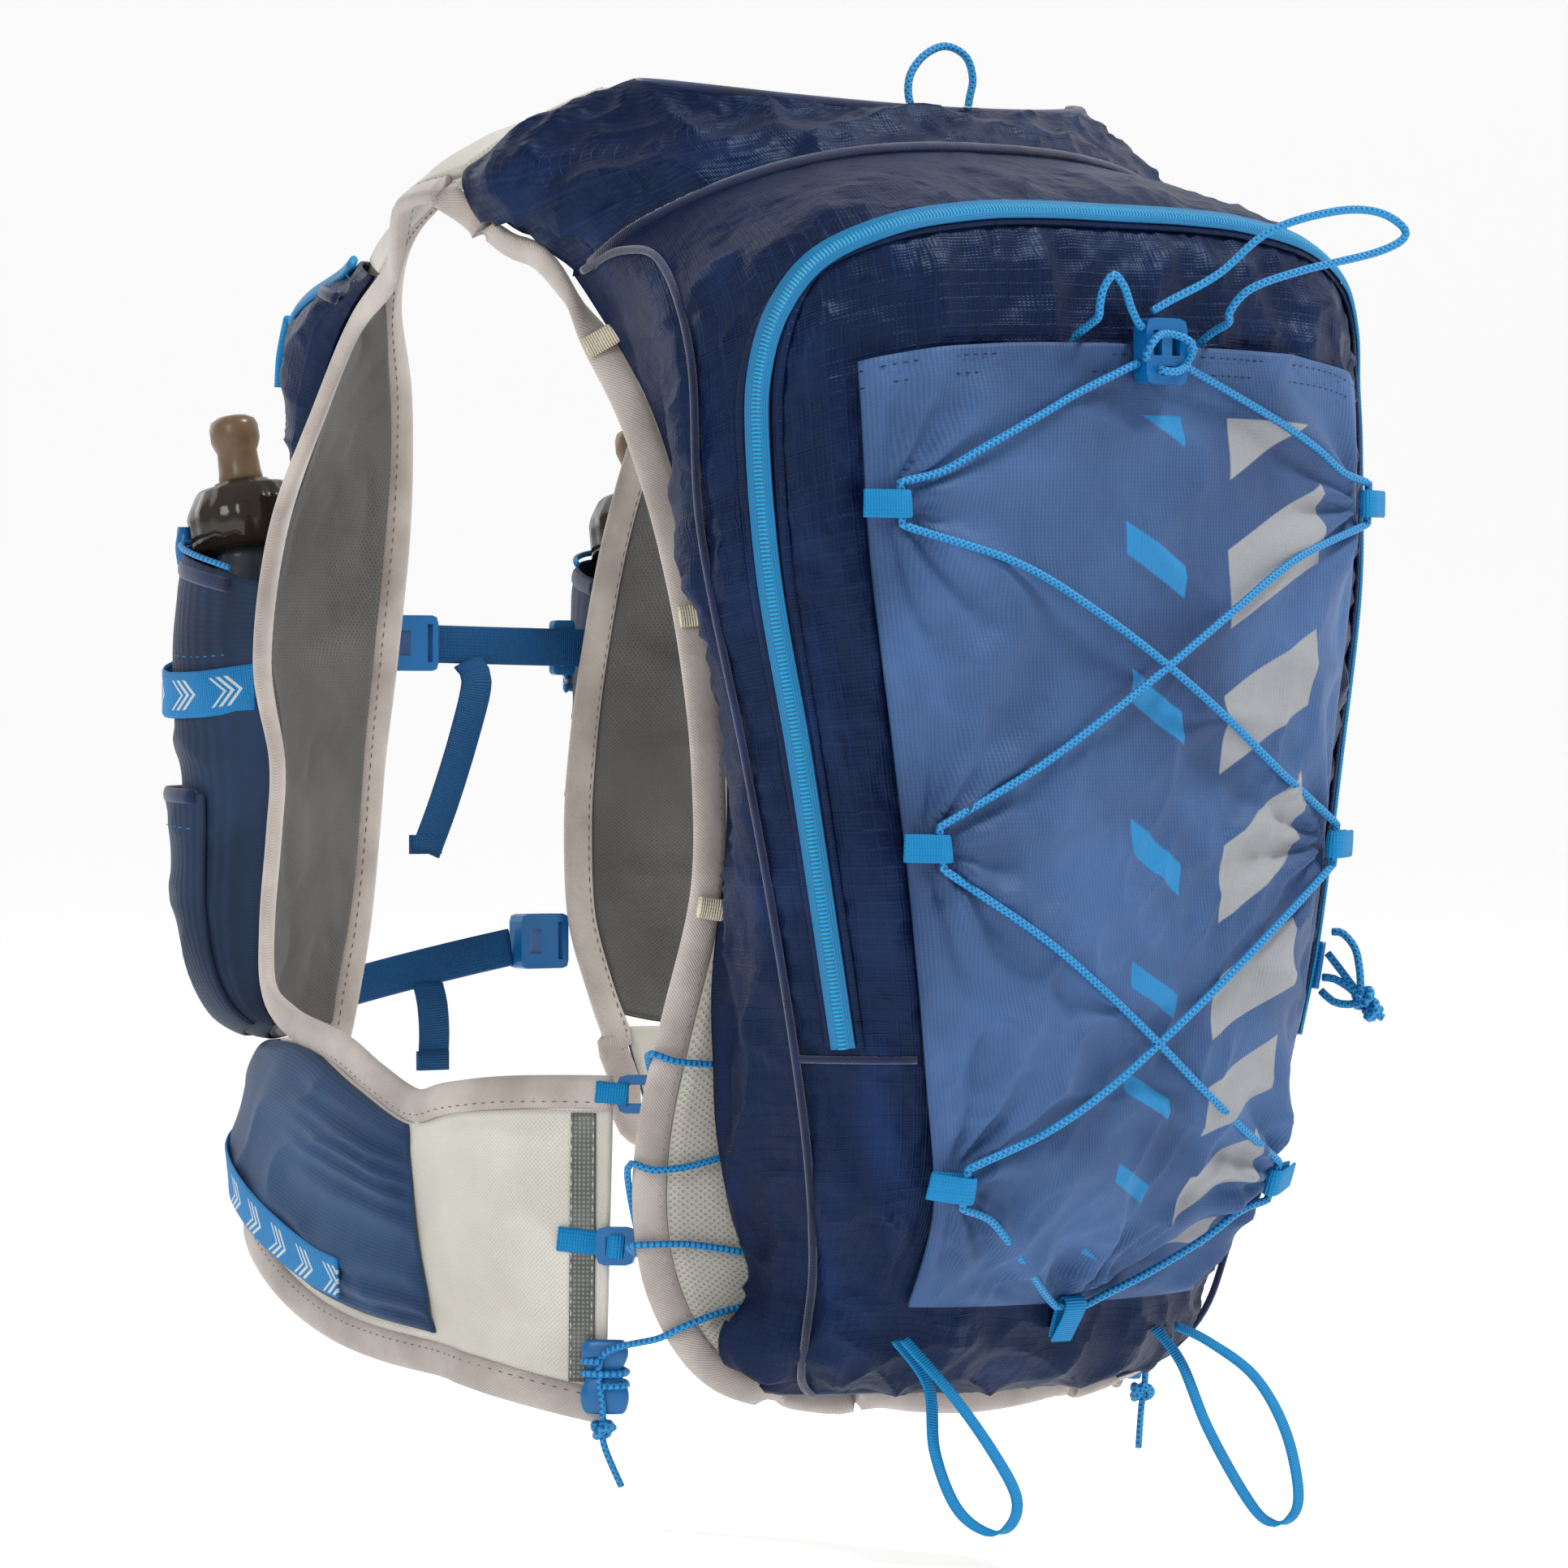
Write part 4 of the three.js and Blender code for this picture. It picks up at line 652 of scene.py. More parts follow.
def smooth_path(stations, spacing):
    """Stations (point, normal) every so many mm along a smooth curve through the given ones."""
    result = []
    for i in range(len(stations) - 1):
        near = [
            stations[max(i - 1, 0)], stations[i], stations[i + 1],
            stations[min(i + 2, len(stations) - 1)]
        ]
        steps = max(1, round((near[2][0] - near[1][0]).length / spacing))
        for k in range(steps):
            t = k / steps
            result.append((catmull(*[s[0] for s in near], t), catmull(*[s[1] for s in near], t).normalized()))
    return result + [stations[-1]]


def oval(width, thick, count=12, power=2.0):
    """A closed section, squarer with a higher power."""
    section = []
    for k in range(count):
        angle = 2 * math.pi * (k + 0.5) / count
        c, s = math.cos(angle), math.sin(angle)
        reach = (abs(c) ** power + abs(s) ** power) ** (-1 / power)
        section.append((c * reach * width / 2, s * reach * thick / 2))
    return section


def sweep(name, stations, section, material, node=None, flip=False, spacing=3.0, scale=None):
    """A section drawn along stations. Its x runs along the side, its y along the normal."""
    path = smooth_path(stations, spacing) if spacing else stations
    points, uvs, faces = [], [], []
    count = len(section)
    low = min(x for x, _ in section)
    run = 0.0
    for i, (point, normal) in enumerate(path):
        before, after = path[max(i - 1, 0)][0], path[min(i + 1, len(path) - 1)][0]
        along = (after - before).normalized()
        side = along.cross(normal).normalized()
        up = side.cross(along)
        run += (point - before).length
        size = scale(i / (len(path) - 1)) if scale else 1
        for x, y in section:
            points.append(point + side * (x * size) + up * (y * size))
            uvs.append((x - low, run))
    for i in range(len(path) - 1):
        for k in range(count):
            a, b = i * count + k, i * count + (k + 1) % count
            faces.append((a, b, b + count, a + count))
    last = (len(path) - 1) * count
    faces.append(tuple(range(count))[::-1])
    faces.append(tuple(last + k for k in range(count)))
    if flip:
        points = [mirror(p) for p in points]
        faces = [face[::-1] for face in faces]
    return add_object(name, points, faces, material, uvs, node)


class Stitches:
    """Rows of short raised stitches in one thread, gathered into one piece."""

    def __init__(self, name, material, length=2.8, gap=1.3, thick=0.6):
        self.name, self.material = name, material
        self.length, self.gap, self.thick = length, gap, thick
        self.points, self.faces = [], []

    def one(self, start, end, normal):
        side = (end - start).cross(normal).normalized() * (self.thick / 2)
        middle = (start + end) / 2
        top = middle + normal * (self.thick * 0.6)
        base = len(self.points)
        self.points += [start, end, middle + side, middle - side, top, middle - normal * 0.2]
        for a, b in ((2, 4), (4, 3), (3, 5), (5, 2)):
            self.faces += [(base, base + a, base + b), (base + 1, base + b, base + a)]

    def row(self, stations, flips=(False,)):
        path = smooth_path(stations, self.length + self.gap)
        share = self.length / (self.length + self.gap)
        for (a, n), (b, _) in zip(path, path[1:]):
            for flip in flips:
                start, end, normal = a, a.lerp(b, share), n
                if flip:
                    start, end, normal = mirror(start), mirror(end), mirror(normal)
                self.one(start, end, normal)

    def finish(self):
        add_object(self.name, self.points, self.faces, self.material)


white_stitches = Stitches("white_stitches", WHITE_THREAD)
navy_stitches = Stitches("navy_stitches", NAVY_THREAD)
cyan_stitches = Stitches("cyan_stitches", CYAN_THREAD)
taupe_stitches = Stitches("taupe_stitches", TAUPE_THREAD)
BOTH = (False, True)


def on(surface, route, lift):
    """Stations at (u, v) places of a surface."""
    return [(surface.at(u, v, lift), surface.normal_at(u, v)) for u, v in route]


def folds(point, size, seed=0.0):
    """Sharp-crested folds, 0 to 1, about as large as the size in mm."""
    value = noise.noise(point / size + Vector((seed, seed, seed)))
    return (1 - abs(value) * 2) ** 2 if abs(value) < 0.5 else 0.0


# Pack body


STRETCH_SPAN, STRETCH_SIDES, STRETCH_LIFT = (bag_row(1.95), bag_row(8.1)), (0.276, 0.735), 8

# Main zip. Columns: bag row, and share round the bag.
ZIP_ROUTE = [
    (5.7, 0.205), (5, 0.203), (4, 0.202), (3, 0.204), (2.2, 0.207), (1.75, 0.214), (1.4, 0.23),
    (1.17, 0.26), (1.07, 0.31), (1.02, 0.37), (1.0, 0.43), (1.0, 0.5),
]
zip_uv = [(bag_row(row), v) for row, v in ZIP_ROUTE]
zip_uv += [(u, 1 - v) for u, v in zip_uv[-2::-1]]

# Piped gusset seam down each side. Columns: bag row, and share round the bag.
SEAM_ROUTE = [
    (0.0, 0.03), (0.25, 0.115), (0.6, 0.155), (1.4, 0.158), (2.6, 0.15), (4, 0.147), (5.2, 0.15),
    (6.5, 0.16), (7.6, 0.175), (8.6, 0.19), (9.6, 0.2), (10.9, 0.21),
]
seam_uv = [(bag_row(row), v) for row, v in SEAM_ROUTE]


def route_tree(*routes):
    """Points every 2 mm along routes on the bag, to look up the nearest one."""
    points = []
    for route in routes:
        stations = [(bag.at(u, v), UP) for u, v in route]
        points += [point for point, _ in smooth_path(stations, 2)]
    tree = KDTree(len(points))
    for k, point in enumerate(points):
        tree.insert(point, k)
    tree.balance()
    return tree


zip_tree = route_tree(zip_uv)
seam_tree = route_tree(seam_uv, [(u, 1 - v) for u, v in seam_uv])


def pucker(tree, point, reach):
    """Small folds across a seam, and how flat the cloth lies next to it."""
    _, index, distance = tree.find(point)
    wave = math.sin(index * 1.25 + 3 * math.sin(index * 0.17)) * math.sin(index * 0.31)
    return wave * math.exp(-(((distance - reach) / 6) ** 2)), distance


def bag_wrinkle(point, s, t):
    edge = min(s, 1 - s, 4 * t, 4 * (1 - t)) * 8
    tall = Vector((point.x, point.y, point.z * 0.55))
    height = 5.4 * folds(tall, 42) + 3.2 * folds(point, 20, 5.0) - 2.4
    zip_pucker, zip_distance = pucker(zip_tree, point, 11)
    seam_pucker, seam_distance = pucker(seam_tree, point, 8)
    height *= smoothstep(zip_distance, 6, 17) * (0.25 + 0.75 * smoothstep(seam_distance, 1, 12))
    height += 1.3 * zip_pucker + 1.2 * seam_pucker - 1.2 * math.exp(-((seam_distance / 3) ** 2))
    down = smoothstep(s, STRETCH_SPAN[0], STRETCH_SPAN[0] + 0.03)
    down *= smoothstep(STRETCH_SPAN[1] - s, -0.02, 0.02)
    across = smoothstep(min(t - STRETCH_SIDES[0], STRETCH_SIDES[1] - t), -0.015, 0.01)
    return height * clamp(edge) * (1 - down * across) - 1.5 * down * across


def yoke_wrinkle(point, s, t):
    edge = clamp(min(s, 1 - s) * 6)
    size = 4.2 * folds(Vector((point.x * 0.6, point.y, point.z)), 34, 9.0) + 2.0 * folds(point, 15, 21.0)
    return (size - 1.6) * edge


def back_wrinkle(point, s, t):
    channel = abs(math.sin(math.pi * 4 * s))
    return -1.3 * (1 - channel) ** 3 * (1 if 0.1 < t < 0.9 else 0)


bag_cloth = sheet(
    "bag_shell", bag, (0.004, 1), (0, 1), lambda s, t: 0, BAG_WALL, NAVY_CLOTH, (150, 150), bag_wrinkle,
    "bag_shell"
)
yoke_cloth = sheet(
    "yoke", yoke, (0, 0.999), (0, 1), lambda s, t: 0, YOKE_WALL, NAVY_CLOTH, (40, 120), yoke_wrinkle,
    "yoke"
)
back_pad = sheet(
    "back_panel", back, (0, BACK_END), BACK_SPAN, lambda s, t: 0, BACK_PAD, BACK_MESH, (90, 50),
    back_wrinkle, "back_panel"
)


def arch(t, power=2):
    return math.sqrt(max(0, 1 - abs(2 * t - 1) ** power))


# Stretch pocket on the bag's rear face, pulled toward the lash loops
LASH_PLACES = [
    (2.72, 0.285), (2.65, 0.725), (4.5, 0.288), (4.5, 0.72), (6.8, 0.298), (6.85, 0.71), (8.2, 0.5)
]
pull_points = [bag.point(bag_row(row), v) for row, v in LASH_PLACES]


def stretch_lift(s, t):
    return BAG_WALL + GAP + STRETCH_LIFT * (1 - s**8) * arch(t)


def stretch_wrinkle(point, s, t):
    height = 0.0
    for anchor in pull_points:
        away = point - anchor
        distance = away.length
        ray = math.atan2(away.z, away.x)
        height += 3.2 * math.exp(-((distance / 60) ** 2)) * math.sin(
            11 * ray + 1.5 * math.sin(3 * ray)
        ) * smoothstep(distance, 2, 18)
    fine = Vector((point.x * 0.8 + 0.5 * point.z, point.y, (point.z - 0.6 * point.x) * 0.35))
    height += 2.2 * (folds(fine, 14, 11.0) - 0.3) * smoothstep(s, 0.05, 0.5)
    slant = Vector((point.x + 0.7 * point.z, point.y, (point.z - 0.7 * point.x) * 0.25))
    height += 5.0 * (folds(slant, 30, 3.0) - 0.3) * smoothstep(s, 0.25, 0.8)
    height += 3.0 * (folds(Vector((point.x * 0.5, 0, point.z)), 40, 7.0) - 0.3)
    return height * smoothstep(min(t, 1 - t), 0, 0.06) * smoothstep(1 - s, 0, 0.05)


def stretch_at(u, v):
    s = clamp((u - STRETCH_SPAN[0]) / (STRETCH_SPAN[1] - STRETCH_SPAN[0]))
    t = clamp((v - STRETCH_SIDES[0]) / (STRETCH_SIDES[1] - STRETCH_SIDES[0]))
    return stretch_lift(s, t) + POCKET_WALL


def marked_knit():
    """The pocket's cloth with a plain pattern of slanted bars, grey on one side and cyan on the other."""
    s = Shader("marked_stretch", 0.6, Sheen_Weight=0.05, Specular_IOR_Level=0.35)
    ribs = s.wave(s.across, 1.3)
    loops = s.math("MULTIPLY", ribs, s.math("MULTIPLY_ADD", s.wave(s.along, 1.1), 0.5))
    tone = s.math("ADD", s.noise(70, 4), s.math("MULTIPLY", loops, 0.15))
    body = s.mix(s.spread(tone, 0.3, 0.85), rgb(38, 64, 106), rgb(64, 100, 150))

    def bars(low, high, pitch, slope, fill):
        """A column of slanted bars between two distances across the pocket, in mm."""
        slanted = s.math("ADD", s.along, s.math("MULTIPLY", s.across, slope))
        stripe = s.spread(s.wave(slanted, pitch), fill, fill + 0.05)
        inside = s.math(
            "MULTIPLY", s.spread(s.across, low * MM, (low + 0.6) * MM),
            s.spread(s.across, (high + 0.6) * MM, high * MM)
        )
        ends = s.math("MULTIPLY", s.spread(s.along, 0.022, 0.0226), s.spread(s.along, 0.3206, 0.32))
        return s.math("MULTIPLY", s.math("MULTIPLY", stripe, inside), ends)

    body = s.mix(bars(128, 168, 44, 0.55, 0.42), body, rgb(150, 152, 156))
    body = s.mix(bars(84, 108, 44, -0.55, 0.86), body, rgb(30, 128, 186))
    s.colour(body)
    s.bumps((s.noise(30, 4, "RIDGED_MULTIFRACTAL", (1, 1, 0.7)), 3.0), (s.noise(9, 3), 1.0), (loops, 0.14))
    return s.material


stretch = sheet(
    "stretch_pocket", bag, STRETCH_SPAN, STRETCH_SIDES, stretch_lift, POCKET_WALL,
    marked_knit(), (180, 130), stretch_wrinkle, "stretch_pocket",
    taper=lambda s: 0.026 * smoothstep(s, 0.6, 1),
)
for inset in (0.012, 0.03):
    row = [(STRETCH_SPAN[0] + inset * 0.5, v) for v in shares(0.275, 0.725, 24)]
    navy_stitches.row([(bag.at(u, v, stretch_at(u, v) + 0.6), bag.normal_at(u, v)) for u, v in row])

# Main zip, with a welt on each side
ZIP_LIFT = BAG_WALL + GAP + 2.4
COIL = [
    (-4.5, -0.4), (4.5, -0.4), (4.5, 0.3), (1.9, 0.5), (1.5, 1.3), (0.0, 1.6), (-1.5, 1.3), (-1.9, 0.5),
    (-4.5, 0.3)
]
sweep("main_zipper", on(bag, zip_uv, ZIP_LIFT), COIL, CYAN_ZIP, "main_zipper", spacing=4)
for shift in (-0.022, 0.022):
    edge = [(u + shift * 0.28 * smoothstep(v, 0.2, 0.3) * smoothstep(1 - v, 0.2, 0.3), v) for u, v in zip_uv]
    edge = [
        (u, v + (shift * 0.62 if v < 0.5 else -shift * 0.62) * (1 - smoothstep(min(v, 1 - v), 0.21, 0.27)))
        for u, v in edge
    ]
    sweep(
        f"zip_welt_{'in' if shift > 0 else 'out'}", on(bag, edge, BAG_WALL + 1.1), oval(4.5, 2.4, 10),
        NAVY_CLOTH, spacing=4
    )

# Piped seams
for side, flip in (("left", False), ("right", True)):
    sweep(
        f"gusset_seam_{side}", on(bag, seam_uv, BAG_WALL + 0.9), oval(3.2, 2.8, 8), NAVY_PIPING,
        flip=flip, spacing=4
    )
foot_seam = [(bag_row(5.8), v) for v in shares(0.152, 0.27, 8)]
for side, flip in (("left", False), ("right", True)):
    sweep(
        f"foot_seam_{side}", on(bag, foot_seam, BAG_WALL + 0.6), oval(2.8, 2.4, 8), NAVY_PIPING,
        flip=flip, spacing=4
    )
sweep(
    "yoke_seam", on(yoke, [(0.985, v) for v in shares(0.01, 0.99, 40)], YOKE_WALL + 0.5),
    oval(5, 2.6, 10), NAVY_PIPING, spacing=5
)
navy_stitches.row(on(yoke, [(0.93, v) for v in shares(0.03, 0.97, 30)], YOKE_WALL + 0.9))
sweep(
    "neck_edge", on(yoke, [(0.02, v) for v in shares(0.02, 0.98, 40)], YOKE_WALL / 2), oval(5, 3.6, 10),
    NAVY_PIPING, spacing=5
)
sweep(
    "bag_foot_seam", on(bag, [(0.99, v) for v in shares(0.02, 0.98, 40)], BAG_WALL / 2), oval(4, 3, 8),
    NAVY_PIPING, spacing=5
)

# Straps, chest and wings


def soft_wrinkle(size, depth, seed):
    def wrinkle(point, s, t):
        return depth * (folds(point, size, seed) - 0.35) * clamp(min(s, 1 - s, t, 1 - t) * 12)

    return wrinkle


def chest_wrinkle(point, s, t):
    """The flask's top presses the mesh inwards below a slanted crease."""
    inner = math.sin(math.pi * t)
    slope = point.z + 192 + 0.35 * (t - 0.5) * 60
    bulge = -4.5 * smoothstep(-slope, -4, 14) * (1 - smoothstep(s, 0.8, 0.98))
    crease = 2.6 * math.exp(-((slope / 5) ** 2))
    return (bulge + crease) * inner + 1.6 * (folds(point, 26, 4.0) - 0.35) * clamp(inner * 2)


def flat(lift):
    return lambda s, t: lift


for pad in both(
    sheet, "shoulder_strap", front, (front_row(0.06), front_row(3)), FRONT_SPAN, flat(0), STRAP_WALL,
    PALE_MESH, (40, 24), soft_wrinkle(22, 0.8, 2.0)
):
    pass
for cloth in both(
    sheet, "front_panel", front, (front_row(3.02), front_row(10.4)), FRONT_SPAN, flat(0), MESH_WALL,
    GREY_MESH, (90, 40), chest_wrinkle
):
    beside(cloth, "shoulder_strap")
for cloth in both(
    sheet, "side_wing", wing, (WING_START, 1), WING_SPAN, flat(0), WING_WALL, PALE_MESH, (90, 40),
    soft_wrinkle(34, 1.2, 6.0)
):
    beside(cloth, "front_panel")


def edge_stations(surface, edge, places, wall):
    inward = 0.1 if edge < 0.5 else -0.1
    stations = []
    for u in places:
        point = surface.at(u, edge, wall / 2)
        along = (surface.at(u + 0.02, edge, wall / 2) - surface.at(u - 0.02, edge, wall / 2)).normalized()
        away = point - surface.at(u, edge + inward, wall / 2)
        away = (away - along * away.dot(along)).normalized()
        stations.append((point + away * (BINDING_WIDTH / 2 + GAP), surface.normal_at(u, edge), away))
    return stations


def lines(count, first, last):
    return [k / count for k in range(first, last + 1)]


front_edge = [0.03, *lines(12, 1, 11), 0.975]
armhole = edge_stations(front, FRONT_SPAN[1], front_edge, MESH_WALL)
armhole += edge_stations(wing, WING_SPAN[1], lines(12, 6, 12), WING_WALL)
wing_front = []
for v in (0.72, 0.3, WING_SPAN[0]):
    point = wing.at(WING_START, v, WING_WALL / 2)
    away = (point - wing.at(1 / 12, v, WING_WALL / 2)).normalized()
    if v == WING_SPAN[0]:
        away -= UP
    wing_front.append((point + away * (BINDING_WIDTH / 2 + 3), wing.normal_at(0, v), away))
hem = edge_stations(front, FRONT_SPAN[0], front_edge, MESH_WALL)
hem += wing_front + edge_stations(wing, WING_SPAN[0], lines(12, 1, 12), WING_WALL)
pair = [s[:2] for s in armhole], [s[:2] for s in hem]
# A binding is a folded tape: a soft oval
TAPE = oval(BINDING_WIDTH + 0.6, BINDING_THICK - 1, 16, 2.4)
both(sweep, "front_binding", pair[0], TAPE, TAUPE, spacing=4)
both(sweep, "hem_binding", pair[1], TAPE, TAUPE, spacing=4)


def bottom_stations():
    result = []
    for v in (0.1, 0.2, 0.3, 0.4, 0.5):
        point = back.at(BACK_END, v, BACK_PAD / 2)
        away = (point - back.at(BACK_END - 0.05, v, BACK_PAD / 2)).normalized()
        result.append((point + away * (BINDING_WIDTH / 2 + 6 * GAP), back.normal_at(1, v)))
    return result


yoke_edge = []
for u in (0.62, 0.78, 0.92):
    point = yoke.at(u, 0)
    away = (point - yoke.at(u, 0.06)).normalized()
    yoke_edge.append((point + away * (BINDING_WIDTH / 2 + 4 * GAP), yoke.normal_at(u, 0)))
back_side = edge_stations(back, BACK_SPAN[0], lines(12, 1, 11), BACK_PAD)
shoulder_joint = (armhole[0][0] - UP * 2, armhole[0][1])
half_back = [shoulder_joint] + yoke_edge + [s[:2] for s in back_side] + bottom_stations()
whole_back = half_back + [(mirror(p), mirror(n)) for p, n in half_back[-2::-1]]
sweep("back_binding", whole_back, TAPE, TAUPE, "back_binding", spacing=4)
for side in (1, -1):
    for stations in (armhole, hem, back_side):
        row = []
        for point, normal, away in stations:
            seam = point - away.normalized() * 3.6
            row.append((seam + normal * (side * (BINDING_THICK / 2 - 0.9)), normal * side))
        taupe_stitches.row(row, BOTH)

# Pockets on the chest


def pocket(span, sides, base, depth, power):
    """Heights of a pocket's sheet over its surface: one for sheet(), one by (u, v)."""

    def lift(s, t):
        return base + depth(s) * arch(t, power)

    def over(u, v):
        s, t = clamp((u - span[0]) / (span[1] - span[0])), clamp((v - sides[0]) / (sides[1] - sides[0]))
        return lift(s, t) + POCKET_WALL

    return lift, over


BASE = MESH_WALL + GAP
SHOULDER = (front_row(3.1), front_row(5.35)), (0.16, 0.89)
shoulder_lift, shoulder_at = pocket(
    *SHOULDER, BASE + GAP,
    lambda s: 20 * (0.12 + 0.88 * smoothstep(s, 0, 0.45)) * (1 - s**6), 3,
)
for cloth in both(
    sheet, "shoulder_pocket", front, *SHOULDER, shoulder_lift, POCKET_WALL, NAVY_CLOTH, (50, 50),
    soft_wrinkle(18, 3.0, 8.0)
):
    beside(cloth, "shoulder_strap")

BOTTLE = (front_row(5.9), front_row(10.4)), (0.14, 0.91)
bottle_lift, bottle_at = pocket(
    *BOTTLE, BASE,
    lambda s: 50 * (1 - s**5) ** 0.8 * (1 - 0.14 * smoothstep(s, 0, 0.6)), 3,
)
for cloth in both(
    sheet, "bottle_pocket", front, *BOTTLE, bottle_lift, POCKET_WALL, DEEP_KNIT, (90, 80),
    soft_wrinkle(26, 2.2, 10.0)
):
    beside(cloth, "front_panel")

LOWER = (front_row(7.85), front_row(10.3)), (0.18, 0.87)


def lower_lift(s, t):
    u, v = lerp(*LOWER[0], s), lerp(*LOWER[1], t)
    return bottle_at(u, v) + 2 * GAP + 4 * (1 - s) * (1 - (2 * v - 1) ** 4)


for cloth in both(
    sheet, "lower_pocket", front, *LOWER, lower_lift, POCKET_WALL, DEEP_KNIT, (60, 70),
    soft_wrinkle(22, 1.6, 12.0)
):
    beside(cloth, "bottle_pocket")

WAIST = (wing_row(0.4), wing_row(6)), (0.1, 0.93)
waist_lift, waist_at = pocket(*WAIST, WING_WALL + GAP, lambda s: 8 * (1 - (2 * s - 1) ** 6), 4)


def waist_wrinkle(point, s, t):
    gather = 1.8 * smoothstep(s, 0.55, 0.98) * math.sin(
        46 * t + 3 * math.sin(9 * t)
    ) * (1 - smoothstep(s, 0.985, 1))
    crumple = 2.2 * (folds(Vector((point.x, point.y * 0.6, point.z)), 24, 14.0) - 0.35)
    return (gather + crumple) * clamp(min(t, 1 - t) * 12)


for cloth in both(
    sheet, "waist_pocket", wing, *WAIST, waist_lift, POCKET_WALL, BLUE_KNIT, (110, 70), waist_wrinkle
):
    beside(cloth, "side_wing")
hems = [
    (front, BOTTLE, bottle_at, 0.006),
    (
        front, LOWER, lambda u,
        v: lower_lift(
            (u - LOWER[0][0]) / (LOWER[0][1] - LOWER[0][0]),
            (v - LOWER[1][0]) / (LOWER[1][1] - LOWER[1][0])
        ) + POCKET_WALL,
        0.004
    )
]
for index, (surface, (span, sides), height, inset) in enumerate(hems):
    route = [(span[0] + inset, v) for v in shares(sides[0] + 0.01, sides[1] - 0.01, 30)]
    stations = [(surface.at(u, v, height(u, v)), surface.normal_at(u, v)) for u, v in route]
    for side, flip in (("left", False), ("right", True)):
        sweep(f"pocket_hem_{index}_{side}", stations, oval(6, 2.6, 10), NAVY_PIPING, flip=flip, spacing=4)
    below = [(u + 0.035, v) for u, v in route]
    cyan_stitches.row(
        [(surface.at(u, v, height(u, v) + 0.8), surface.normal_at(u, v)) for u, v in below], BOTH
    )

# Webbing


def band_section(width, thick):
    return oval(width, thick, 12, 6)


def beside(surface, height, u, v, du, dv):
    upper = surface.at(u - du, v - dv, height(u - du, v - dv))
    lower = surface.at(u + du, v + dv, height(u + du, v + dv))
    return (upper + lower) / 2, (upper - lower).normalized()


bottle_strap = []
for v in (0.178, 0.2, 0.3, 0.4, 0.5, 0.6, 0.7, 0.8, 0.872, 0.895, 0.91, 0.925):
    middle, _ = beside(front, bottle_at, front_row(6.6), v, 0.016, 0)
    bottle_strap.append((middle + front.normal_at(front_row(6.6), v) * (4 + WEBBING / 2), v))
for i, (point, _) in enumerate(bottle_strap):
    before, after = bottle_strap[max(i - 1, 0)][0], bottle_strap[min(i + 1, len(bottle_strap) - 1)][0]
    bottle_strap[i] = (point, (after - before).cross(UP).normalized())
both(sweep, "bottle_strap", bottle_strap, band_section(18, WEBBING), CHEVRON_WEB, spacing=3)
waist_strap = []
for u in (*lines(12, 1, 6), 6.6 / 12):
    middle, side = beside(wing, waist_at, u, 0.22, 0, 0.1)
    out = wing.normal_at(u, 0.22)
    waist_strap.append((middle + out * (WEBBING / 2 + 5 * GAP), (out - side * out.dot(side)).normalized()))
both(sweep, "waist_strap", waist_strap, band_section(16, WEBBING), CHEVRON_WEB, spacing=3)

# Reflective tape at the rear of each wing, with two sewn rows
TAPE_U = 0.955
tape = [(wing.at(TAPE_U, v, WING_WALL + 0.7), wing.normal_at(TAPE_U, v)) for v in shares(0.07, 0.93, 12)]
for side, flip in (("left", False), ("right", True)):
    sweep(f"reflective_tape_{side}", tape, band_section(9.5, 0.8), GREY_TAPE, flip=flip)
for shift in (-0.014, 0.014):
    row = [
        (wing.at(TAPE_U + shift, v, WING_WALL + 1.1), wing.normal_at(TAPE_U, v))
        for v in shares(0.08, 0.92, 12)
    ]
    white_stitches.row(row, BOTH)

# Sternum straps


def binding_face(z):
    points = [s[0] for s in hem]
    below = next(i for i, p in enumerate(points) if p.z < z)
    upper, lower = points[below - 1], points[below]
    return lerp(upper.y, lower.y, (z - upper.z) / (lower.z - upper.z)) - (BINDING_THICK / 2 + 2 * GAP + 4)


UPPER = {"buckle": 36, "end": -56, "z": -0.402 * DROP, "end_z": -0.405 * DROP}
LOWER_STRAP = {"buckle": -40, "end": 60, "z": -0.653 * DROP, "end_z": -0.69 * DROP}
FORWARD = Vector((0, -1, 0))


def on_strap(spec, x):
    t = (x - spec["buckle"]) / (spec["end"] - spec["buckle"])
    z = lerp(spec["z"], spec["end_z"], t)
    return Vector((x, binding_face(z) - 16 * t * (1 - t), z))


def sternum(name, spec, tail_x, tail):
    toward = 1 if spec["end"] > spec["buckle"] else -1
    path = [(on_strap(spec, x), FORWARD) for x in shares(spec["buckle"] + toward * 13, spec["end"], 7)]
    sweep(name, path, band_section(15, WEBBING), BLUE_WEB, name)
    foot = on_strap(spec, tail_x) + Vector((0, 0.5, -6.5))
    path = [foot + Vector(offset) for offset in tail]
    stations = []
    for i, point in enumerate(path):
        along = path[min(i + 1, len(path) - 1)] - path[max(i - 1, 0)]
        stations.append((point, Vector((1, 0, -0.05)).cross(along).normalized()))
    sweep(name + "_tail", stations, band_section(15, WEBBING), BLUE_WEB)
    fold = [(stations[-1][0] + UP * lift, stations[-1][1]) for lift in (7, 3, -0.6)]
    sweep(name + "_tip", fold, band_section(15.6, 4), BLUE_WEB)


sternum("sternum_strap_upper", UPPER, 4, [(0, 0, 0), (-2, 4, -8), (2, 1, -30), (9, -3, -56), (16, -6, -76)])
sternum("sternum_strap_lower", LOWER_STRAP, 14, [(0, 0, 0), (0, 3, -8), (-1, 3, -20), (-1, 2, -34)])

# Cords: the bungee through its loops, and the free loops


